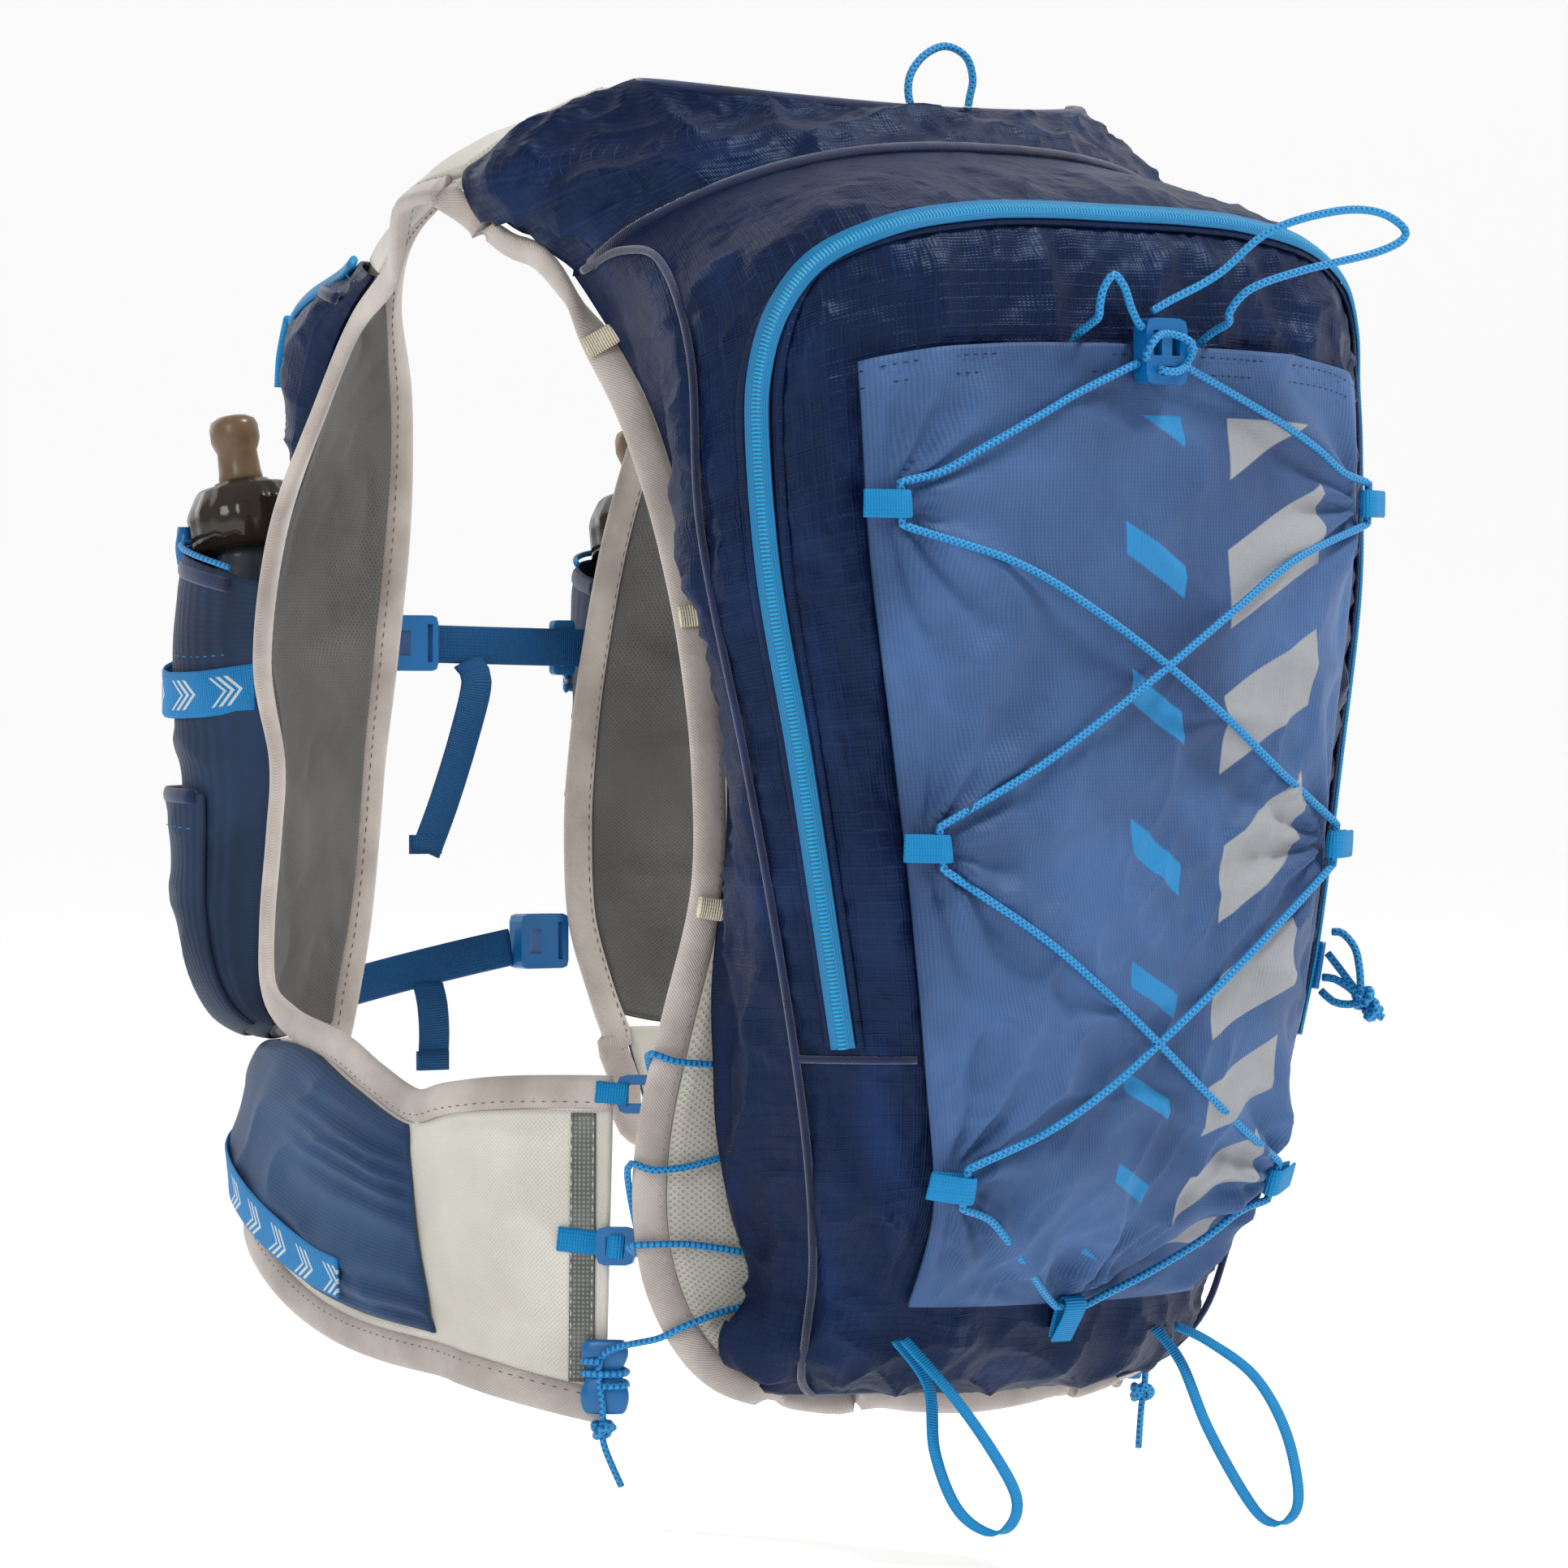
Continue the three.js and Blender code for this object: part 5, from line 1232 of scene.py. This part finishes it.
def cord(name, points, diameter, material, node=None, flip=False, spacing=3.0):
    """A round cord. Its normals are carried along without twist."""
    stations = []
    normal = Vector((0.3, 0.5, 0.8))
    for i, point in enumerate(points):
        along = (points[min(i + 1, len(points) - 1)] - points[max(i - 1, 0)]).normalized()
        normal = (normal - along * normal.dot(along)).normalized()
        stations.append((point, normal))
    return sweep(name, stations, oval(diameter, diameter, 10), material, node, flip, spacing)


HOOK_WIDTH, HOOK_HEIGHT, HOOK_THICK = 20, 24, 7
LASH_THICK = CORD + 2 * 1.2 + 2.5 * GAP
LASH_LENGTH = 17
hook_u, hook_v = bag_row(2.0), 0.5
hook_point = bag.at(hook_u, hook_v, stretch_at(hook_u, hook_v) + GAP + HOOK_THICK / 2 + 2)
lashes = []
for i, (row, v) in enumerate(LASH_PLACES):
    u = bag_row(row)
    out = bag.normal_at(u, v)
    down = (bag.point(u + 0.02, v) - bag.point(u - 0.02, v)).normalized()
    inward = Vector((-1 if v < 0.5 else 1, 0, 0))
    inward = (inward - out * inward.dot(out)).normalized()
    is_foot = i == len(LASH_PLACES) - 1
    run = Vector((-1, 0, 0)) if is_foot else down
    reach = -down if is_foot else inward
    lift = stretch_at(u, v + (0.03 if v < 0.5 else -0.03)) + GAP + LASH_THICK / 2 + 1
    centre = bag.at(u, v, lift)
    eye = centre + reach * (LASH_LENGTH / 2 - 1.2 - CORD / 2 - 0.5 - GAP)
    lashes.append({"u": u, "v": v, "eye": eye, "run": run, "out": out, "reach": reach, "centre": centre})
    # The loop: webbing folded round the cord, its two ends sewn together at the seam
    foot = centre - reach * (LASH_LENGTH / 2)
    half = LASH_THICK / 2 - 0.6
    loop = [
        foot - out * 0.7, eye - out * half, eye + reach * (half + 0.6), eye + out * half,
        foot + out * 1.1 - reach * 1
    ]
    stations = []
    for k, point in enumerate(loop):
        along = (loop[min(k + 1, len(loop) - 1)] - loop[max(k - 1, 0)]).normalized()
        stations.append((point, along.cross(run).normalized()))
    sweep(f"lash_loop_{i + 1}", stations, band_section(10, 1.3), CYAN_WEB, f"lash_loop_{i + 1}", spacing=1.5)

LACE_ORDER = [(0, 0), (3, 1), (4, 0), (6, 0), (5, 0), (2, 0), (1, 1)]
UPWARD = (5, 2, 1)
EYE_TURN = 7.5


def strand(start, end, over):
    result = []
    for t in (0.2, 0.35, 0.5, 0.65, 0.8):
        u, v = lerp(start[0], end[0], t), lerp(start[1], end[1], t)
        crossing = over * (CORD + 0.6) * (1 - smoothstep(abs(t - 0.5), 0.05, 0.3))
        result.append(bag.at(u, v, stretch_at(u, v) + CORD / 2 + 1.6 + crossing))
    return result


def beside_hook(side):
    return hook_point + Vector((side * (HOOK_WIDTH / 2 + 2 * GAP), 0, -HOOK_HEIGHT / 5))


route = [beside_hook(1)]
last = (hook_u + 0.01, hook_v - 0.04)
for index, over in LACE_ORDER:
    lash = lashes[index]
    place = (lash["u"], lash["v"])
    sense = -1 if index in UPWARD else 1
    route += strand(last, place, over)
    route += [
        lash["eye"] + lash["run"] * (step * sense)
        for step in (-EYE_TURN, -EYE_TURN / 1.4, EYE_TURN / 1.4, EYE_TURN)
    ]
    last = place
route += strand(last, (hook_u + 0.01, hook_v + 0.04), 0)[:-1] + [beside_hook(-1)]
cord("bungee_lace", route, CORD, CYAN_BRAID, "bungee_lace", spacing=2.5)


def offsets(base, rows):
    return [base + Vector(row) for row in rows]


def free_cord(name, points, diameter, node):
    piece = cord(name, points, diameter, CYAN_BRAID, node, spacing=1.5)
    return piece


hook_top = hook_point + Vector((0, 0, HOOK_HEIGHT / 2 + GAP + CORD / 2))
TOP_LOOP = [
    (5, 1, 0), (-2, 3, 4), (-21, 8, 14), (-41, 14, 30), (-68, 20, 38), (-87, 24, 38),
    (-98, 26, 31), (-86, 25, 24), (-52, 20, 16), (-32, 14, 9), (-27, 8, 1), (-30, 4, -3),
    (-31, -5, -6), (-31, -12, -10), (-31, -13, -15), (-31, -13, -22),
]
HEM_LOOP = [
    (31, -13, -22), (31, -13, -15), (31, -12, -10), (31, -5, -6), (32, 2, -3), (34, 5, 1), (34, 7, 7),
    (30, 8, 12), (25, 8, 8), (19, 5, 1), (14, 3, -4), (10.8, 2, -6),
]
PULL = [
    (-3, 2.5, 13), (-5, 6, 12.5), (-7, 10.5, 7), (-7.5, 12.5, -1), (-7.5, 13.5, -9), (-9, 16, -15),
    (-12, 20.5, -19)
]
HAUL = [
    (16, 0, 0), (16.5, -1, 6), (14, -2, 13), (7, -2, 20), (-3, -2, 23.5), (-12, -1, 20), (-14.5, 0, 12),
    (-13, 0, 5), (-12, 0, 0)
]
zip_end = bag.at(bag_row(5.2), 0.8, BAG_WALL + GAP + 1 + 2.7 + 1 + CORD / 2 + GAP)
haul_feet = yoke.at(0.14, 0.5, YOKE_WALL + GAP + 0.4)
free_cord("bungee_top_loop", offsets(hook_top, TOP_LOOP), CORD, "bungee_top_loop")
free_cord("hem_loop", offsets(hook_top, HEM_LOOP), CORD, "hem_loop")
free_cord("zip_pull_cord", offsets(zip_end, PULL), CORD, "zip_pull_cord")
cord("haul_loop", offsets(haul_feet, HAUL), CORD, CYAN_BRAID, "haul_loop", spacing=2)

# Axe loops: narrow webbing from the pocket's foot
AXE_LEFT = [
    (0, 0, 0), (-5, 12, -16), (-2, 19, -39), (-7, 25, -59), (-17, 30, -68), (-25, 34, -66),
    (-28, 34, -56), (-19, 31, -39), (-8, 22, -19), (3, 8, 1)
]
AXE_RIGHT = [
    (0, 0, 0), (-6, 8, -13), (-12, 16, -37), (-25, 22, -62), (-33, 26, -72), (-41, 30, -71),
    (-43, 32, -61), (-38, 30, -38), (-28, 24, -18), (-14, 14, -5), (-3, 8, 1)
]
for name, rows, v in (("axe_loop_left", AXE_LEFT, 0.3), ("axe_loop_right", AXE_RIGHT, 0.655)):
    foot = bag.at(bag_row(8.55), v, BAG_WALL + GAP + 1.2 + 0.6)
    points = offsets(foot, rows)
    side = Vector((1, 0.12, 0))
    stations = []
    for i, point in enumerate(points):
        along = (points[min(i + 1, len(points) - 1)] - points[max(i - 1, 0)]).normalized()
        stations.append((point, side.cross(along).normalized()))
    sweep(name, stations, band_section(5.5, 1.4), CYAN_WEB, name, spacing=2)

# Side laces, from the top slider behind the binding and under the bag's edge, and back
end = edge_stations(wing, WING_SPAN[1], [1], WING_WALL)[0][0], edge_stations(
    wing, WING_SPAN[0], [1], WING_WALL
)[0][0]
rearward = (wing.at(1, 0.5) - wing.at(0.97, 0.5)).normalized()
wing_out = wing.normal_at(0.98, 0.5)
slider_top = end[0] + rearward * (7 + GAP + 2)
slider_low = wing.at(1, 0.52, WING_WALL + 4) + rearward * 3.5
cleat = end[1] + rearward * 2 + wing_out * (BINDING_THICK / 2 + 2 + 3 * GAP) + UP * 12


def on_back(row, share, more=0.0):
    return back.at(back_row(row), (1 - share) / 2, BACK_PAD + GAP + LACE / 2 + 0.8 + more)


def round_binding(row, outward):
    point, normal, away = edge_stations(back, BACK_SPAN[0], [back_row(row)], BACK_PAD)[0]
    tip = point + away * (BINDING_WIDTH / 2 + LACE / 2 + 1.6) + normal
    face = point + normal * (BINDING_THICK / 2 + LACE / 2 + 1.6)
    return [face, tip] if outward else [tip, face]


def near_slider(centre, up=0.0):
    return centre + rearward * (7 + GAP + LACE / 2) + UP * up


def over_cleat(down):
    return cleat + wing_out * (2 + GAP + LACE / 2 + 0.8) - UP * down


lace_route = [
    near_slider(slider_top), *round_binding(6.12, False), on_back(6.15, 0.86, 0.6), on_back(6.2, 0.7)
]
lace_route += [on_back(6.5, 0.62), on_back(6.85, 0.68), on_back(7.05, 0.86, 0.6), *round_binding(7.1, True)]
lace_route += [near_slider(slider_low, 2), near_slider(slider_low, -2), *round_binding(7.75, False)]
lace_route += [on_back(7.8, 0.86, 0.6), on_back(8.0, 0.62), on_back(8.25, 0.58), on_back(8.4, 0.72)]
lace_route += [on_back(8.5, 0.86, 0.6), *round_binding(8.55, True), over_cleat(-8), over_cleat(12)]
lace_route += [cleat + wing_out * 3 - UP * 24, cleat + Vector((-3, 6, -40))]
both(cord, "side_lace", lace_route, LACE, CYAN_BRAID, spacing=2.5)

# Soft flasks and their caps. Columns: front row, share of the radius, and the lean.
FLASK_RINGS = [
    (9.4, 0.3, -0.7), (9.1, 0.62, -0.45), (8.4, 0.88, -0.1), (7.4, 1.0, 0.1), (6.6, 0.92, 0.4),
    (6.1, 0.75, 0.75), (5.8, 0.6, 1.0)
]
FLASK_RADIUS, FLASK_FLATNESS, FLASK_LEAN = 25, 0.8, 14


def flask_middle(row, out):
    return front.at(
        front_row(row), 0.5, MESH_WALL + 2 * GAP + FLASK_RADIUS * FLASK_FLATNESS + FLASK_LEAN * out
    )


def flask(name, node, flip):
    stations, sizes = [], []
    for row, share, out in FLASK_RINGS:
        wide = (front.at(front_row(row), 0.6) - front.at(front_row(row), 0.4)).normalized()
        stations.append((flask_middle(row, out), wide.cross(UP).normalized()))
        sizes.append(share)

    def size(t):
        place = t * (len(sizes) - 1)
        i = min(int(place), len(sizes) - 2)
        near = [sizes[max(i - 1, 0)], sizes[i], sizes[i + 1], sizes[min(i + 2, len(sizes) - 1)]]
        return catmull(*near, place - i)

    return sweep(
        name, stations, oval(2 * FLASK_RADIUS, 2 * FLASK_RADIUS * FLASK_FLATNESS, 28), FLASK_FILM, node,
        flip, 6, size
    )


for side in ("left", "right"):
    flask(f"flask_{side}", f"flask_{side}", side == "right")



def lathe(name, profile, seat, axis, material, node=None, flip=False, sides=48, ribs=0.0):
    """A turned piece. profile holds radius and height in mm, and ribs a share of the radius."""
    side = axis.cross(Vector((0, 1, 0))).normalized()
    front_way = axis.cross(side)
    points, uvs, faces = [], [], []
    for radius, height in profile:
        for k in range(sides):
            angle = 2 * math.pi * k / sides
            grip = 1 + ribs * (1 if k % 4 < 2 else 0) * (radius > 0.8 * profile[1][0])
            across = side * math.cos(angle) + front_way * math.sin(angle)
            points.append(seat + axis * height + across * (radius * grip))
            uvs.append((radius * angle, height))
    for i in range(len(profile) - 1):
        for k in range(sides):
            a, b = i * sides + k, i * sides + (k + 1) % sides
            faces.append((a, b, b + sides, a + sides))
    last = (len(profile) - 1) * sides
    faces.append(tuple(range(sides))[::-1])
    faces.append(tuple(last + k for k in range(sides)))
    if flip:
        points = [mirror(p) for p in points]
        faces = [face[::-1] for face in faces]
    return add_object(name, points, faces, material, uvs, node)


CAP_RADIUS, CAP_HEIGHT = 23, 26
cap_turn = Vector((0.04, -0.18, 0.98)).normalized()
cap_seat = flask_middle(FLASK_RINGS[-1][0], FLASK_RINGS[-1][2])
cap_seat += cap_turn * (GAP + FLASK_RADIUS * FLASK_RINGS[-1][1] * 0.2) - UP * 6
CAP_BODY = [
    (0.9, 0), (0.98, 0.03), (0.98, 0.58), (0.95, 0.66), (0.8, 0.9), (0.76, 0.95), (0.5, 1.0),
    (0.47, 1.04)
]
VALVE = [
    (0.36, 1.03), (0.38, 1.1), (0.36, 1.2), (0.34, 1.5), (0.38, 1.58), (0.42, 1.68),
    (0.42, 1.88), (0.38, 1.98), (0.26, 2.04), (0.1, 2.05),
]
for side, flip in (("left", False), ("right", True)):
    body = [(r * CAP_RADIUS, h * CAP_HEIGHT) for r, h in CAP_BODY]
    valve = [(r * CAP_RADIUS, h * CAP_HEIGHT) for r, h in VALVE]
    lathe(f"flask_cap_{side}", body, cap_seat, cap_turn, SMOKE_PLASTIC, f"flask_cap_{side}", flip, 64, 0.03)
    lathe(f"bite_valve_{side}", valve, cap_seat, cap_turn, AMBER_PLASTIC, None, flip)


def pair_sweep(name, stations, section, material, **kwargs):
    for side, flip in (("left", False), ("right", True)):
        sweep(f"{name}_{side}", stations, section, material, flip=flip, **kwargs)


def knot(name, centre, along, size, flip=False):
    """A small overhand knot: the cord once round itself and through."""
    along = along.normalized()
    a = along.cross(Vector((0.31, 0.9, 0.2))).normalized()
    b = along.cross(a)
    points = []
    for k in range(19):
        t = 2 * math.pi * k / 12
        reach = size * (0.75 + 0.25 * math.cos(1.5 * t))
        points.append(
            centre + (a * math.cos(t) + b * math.sin(t)) * reach + along * (size * (0.6 * math.sin(1.5 * t)))
        )
    cord(name, points, size * 0.95, CYAN_BRAID, flip=flip, spacing=1.2)


# Shoulder pocket: flap with two sewn rows, a zip on its ridge and a cord pull
flap_rows = [(front_row(3.28), 0.2), (front_row(3.5), 0.2)]
for u, low in flap_rows:
    route = [(u, v) for v in shares(low, 0.86, 16)]
    cyan_stitches.row(
        [(front.at(a, v, shoulder_at(a, v) + 1.2), front.normal_at(a, v)) for a, v in route], BOTH
    )
flap = [(front_row(3.6), v) for v in shares(0.19, 0.86, 16)]
flap = [(front.at(u, v, shoulder_at(u, v) + 0.8), front.normal_at(u, v)) for u, v in flap]
pair_sweep("flap_edge", flap, oval(5, 3, 10), NAVY_PIPING)
ridge = [(front_row(row), 0.52) for row in (3.12, 3.3, 3.5, 3.7, 3.9, 4.05)]
ridge = [(front.at(u, v, shoulder_at(u, v) + 2.2), front.normal_at(u, v)) for u, v in ridge]
pair_sweep("pocket_zip", ridge, oval(7, 3.4, 10, 3), CYAN_ZIP)
pull_top = ridge[-1][0] + ridge[-1][1] * 2
pull = [
    pull_top, pull_top + Vector((-2, -5, -6)), pull_top + Vector((-3, -9, -15)),
    pull_top + Vector((-3, -10, -26))
]
for side, flip in (("left", False), ("right", True)):
    cord(f"pocket_pull_{side}", pull, 4.2, CYAN_WEB, flip=flip)

# Bottle pocket: elastic cord along the rim, with a lock
rim = [(front_row(5.87), v) for v in shares(0.2, 0.9, 20)]
rim = [(front.at(u, v, bottle_at(u, v) + 1.6), front.normal_at(u, v)) for u, v in rim]
for side, flip in (("left", False), ("right", True)):
    cord(f"rim_cord_{side}", [p for p, _ in rim], 2.4, CYAN_BRAID, flip=flip)
lock = rim[11][0] + rim[11][1] * 5
lock_path = [(lock + UP * h, rim[11][1]) for h in (5, 1, -4, -10)]
pair_sweep("cord_lock", lock_path, oval(9, 7, 16, 3), BLUE_PLASTIC, scale=lambda t: 1 - 0.25 * abs(2 * t - 1))

# Cream tabs between the back panel's edge and the bag
for index, row in enumerate((0.55, 3.0, 5.1)):
    point, normal, away = edge_stations(back, BACK_SPAN[0], [back_row(row)], BACK_PAD)[0]
    base = point + normal * (BINDING_THICK / 2 + 1.4)
    tab = [
        (base + away * reach + normal * lift, normal) for reach,
        lift in ((-9, 1), (-4, 0.6), (1, 0), (5, 0.2))
    ]
    pair_sweep(f"cream_tab_{index}", tab, oval(8, 2.6, 12, 4), CREAM, spacing=1.5)

# Webbing that holds the side sliders to the wing
hold_top = [(slider_top + rearward * reach + wing_out * 3, wing_out) for reach in (-15, -9, -3)]
pair_sweep("top_holder", hold_top, band_section(8, 2.2), CYAN_WEB, spacing=1.5)
hold_low = [(wing.at(u, 0.52, 3.6), wing.normal_at(u, 0.52)) for u in (0.925, 0.95, 0.975)]
hold_low.append((slider_low + wing_out * 2.6, wing_out))
hold_low.append((slider_low + rearward * 3 + wing_out * 1.4, wing_out))
pair_sweep("low_holder", hold_low, band_section(9, 1.8), CYAN_WEB, spacing=1.5)
cleat_path = [(cleat + UP * (13.5 * k), wing_out) for k in (-1, -0.75, -0.4, 0, 0.4, 0.75, 1)]
waist = lambda t: 1 - 0.3 * math.exp(-(((t - 0.55) / 0.16) ** 2)) - 0.25 * abs(2 * t - 1) ** 6
for side, flip in (("left", False), ("right", True)):
    sweep(
        f"side_cleat_{side}", cleat_path, oval(18, 7, 24, 3.5), BLUE_PLASTIC, f"side_cleat_{side}",
        flip, 1, waist
    )
    turn = [
        cleat + wing_out * (5.4 * math.cos(a)) + rearward * (8.2 * math.sin(a)) + UP * (1 + 0.7 * a)
        for a in shares(0, 4 * math.pi, 26)
    ]
    cord(f"cleat_wrap_{side}", [p - UP * 4 for p in turn], LACE, CYAN_BRAID, flip=flip)
    knot(f"lace_knot_{side}", cleat + wing_out * 3 - UP * 19, UP, 3.6, flip)
knot("zip_pull_knot", zip_end + Vector((-7.8, 14.2, -11.5)), Vector((-0.4, 0.6, -1.4)), 3.6)
knot("zip_pull_knot_end", zip_end + Vector((-9.6, 17, -16)), Vector((-1, 1.6, -1.6)), 3.2)
PULL_STRANDS = [
    [(-2, 1, 5), (-3.5, 4, 1), (-5.5, 8.5, -5), (-7.4, 13, -11)],
    [(-0.5, 0, -4), (-2.5, 4, -4.5), (-5, 9, -7.5), (-7.6, 13.6, -12)],
    [(0.5, 0, -9), (-1.5, 4.5, -13), (-4.5, 9.5, -14), (-7.8, 14.4, -13)],
]
for k, strand_points in enumerate(PULL_STRANDS):
    cord(f"zip_pull_strand_{k + 1}", offsets(zip_end, strand_points), CORD, CYAN_BRAID)
wrap = [
    hook_point + Vector((11 * math.cos(a), 5 + 1.5 * math.sin(3 * a), -1 + 7 * math.sin(a)))
    for a in shares(-0.4, 5.2, 18)
]
cord("hook_wrap", wrap, CORD, CYAN_BRAID)

# Zip slider, and bartacks at the haul loop
slider_body = [
    (bag.at(bag_row(r), 0.8, ZIP_LIFT + 2.6), bag.normal_at(bag_row(r), 0.8)) for r in (5.35, 5.2, 5.05)
]
sweep("zip_slider", slider_body, oval(8, 3.4, 14, 3), BLUE_PLASTIC, scale=lambda t: 1 - 0.2 * t)
for x in (-13, 15):
    for k in range(9):
        middle = haul_feet + Vector((x + k * 0.9 - 3.6, 1, 0))
        white_stitches.one(
            middle + Vector((0, -2.4, 0.9)), middle + Vector((0.5, 2.4, 0.9)), Vector((0, 0.3, 1))
        )

white_stitches.finish()
navy_stitches.finish()
cyan_stitches.finish()
taupe_stitches.finish()

# Hard pieces keep their CAD shape
for obj in list(bpy.data.objects):
    name = obj.name
    if name.startswith(("cord_hook", "sternum_buckle", "sternum_slider", "side_slider")):
        for slot in obj.material_slots:
            slot.material = BLUE_PLASTIC

# Floor and light


LIGHT_TARGET = Vector((0, 0, -0.25))
LIGHTS = [
    ("key", (-1.3, 1.5, 2.9), 0.7, 95),
    ("fill", (3.0, 1.2, 1.2), 1.2, 30),
    ("front_fill", (0.6, -2.4, 0.9), 2.0, 16),
]
WORLD_GLOW = 0.42
FLOOR_GLOW = 0.42
FLOOR_GREY = 240
FLOOR_DROP = 0.03
FLOOR_HALF_WIDTH = 25
FLOOR_HEIGHT = 14.0


def add_light(name, location, size, power):
    light = bpy.data.objects.new(name, bpy.data.lights.new(name, "AREA"))
    light.data.size = size
    light.data.energy = power
    light.location = location
    light.rotation_euler = (LIGHT_TARGET - Vector(location)).to_track_quat("-Z", "Y").to_euler()
    bpy.context.scene.collection.objects.link(light)


def backdrop():
    """A white floor that turns up far behind the vest, as the camera sees it."""
    away = Vector((-math.sin(VIEW_AZIMUTH), math.cos(VIEW_AZIMUTH), 0))
    side = away.cross(UP)
    bend, reach, near = 3.0, 7.0, 30.0
    profile = [(-near, 0.0), (0.0, 0.0), (reach, 0.0)]
    profile += [(reach + bend * math.sin(a), bend * (1 - math.cos(a))) for a in shares(0.1, math.pi / 2, 12)]
    profile.append((reach + bend, FLOOR_HEIGHT))
    foot = Vector((0, 0, cad_box[0][2] - FLOOR_DROP))
    points = [
        foot + away * run + UP * rise + side * wide for run, rise in profile
        for wide in (-FLOOR_HALF_WIDTH, FLOOR_HALF_WIDTH)
    ]
    faces = [(k, k + 1, k + 3, k + 2) for k in range(0, len(points) - 2, 2)]
    mesh = bpy.data.meshes.new("floor")
    mesh.from_pydata(points, [], faces)
    for polygon in mesh.polygons:
        polygon.use_smooth = True
    white = Shader(
        "floor_white", 0.95, Base_Color=rgb(FLOOR_GREY, FLOOR_GREY, FLOOR_GREY),
        Emission_Color=(1, 1, 1, 1), Emission_Strength=FLOOR_GLOW
    )
    mesh.materials.append(white.material)
    return bpy.data.objects.new("floor", mesh)


floor = backdrop()
bpy.context.scene.collection.objects.link(floor)
for row in LIGHTS:
    add_light(*row)
world = bpy.data.worlds.new("studio")
world.use_nodes = True
world.node_tree.nodes["Background"].inputs[0].default_value = (1, 1, 1, 1)
world.node_tree.nodes["Background"].inputs[1].default_value = WORLD_GLOW
bpy.context.scene.world = world
bpy.context.scene.view_settings.view_transform = "Standard"
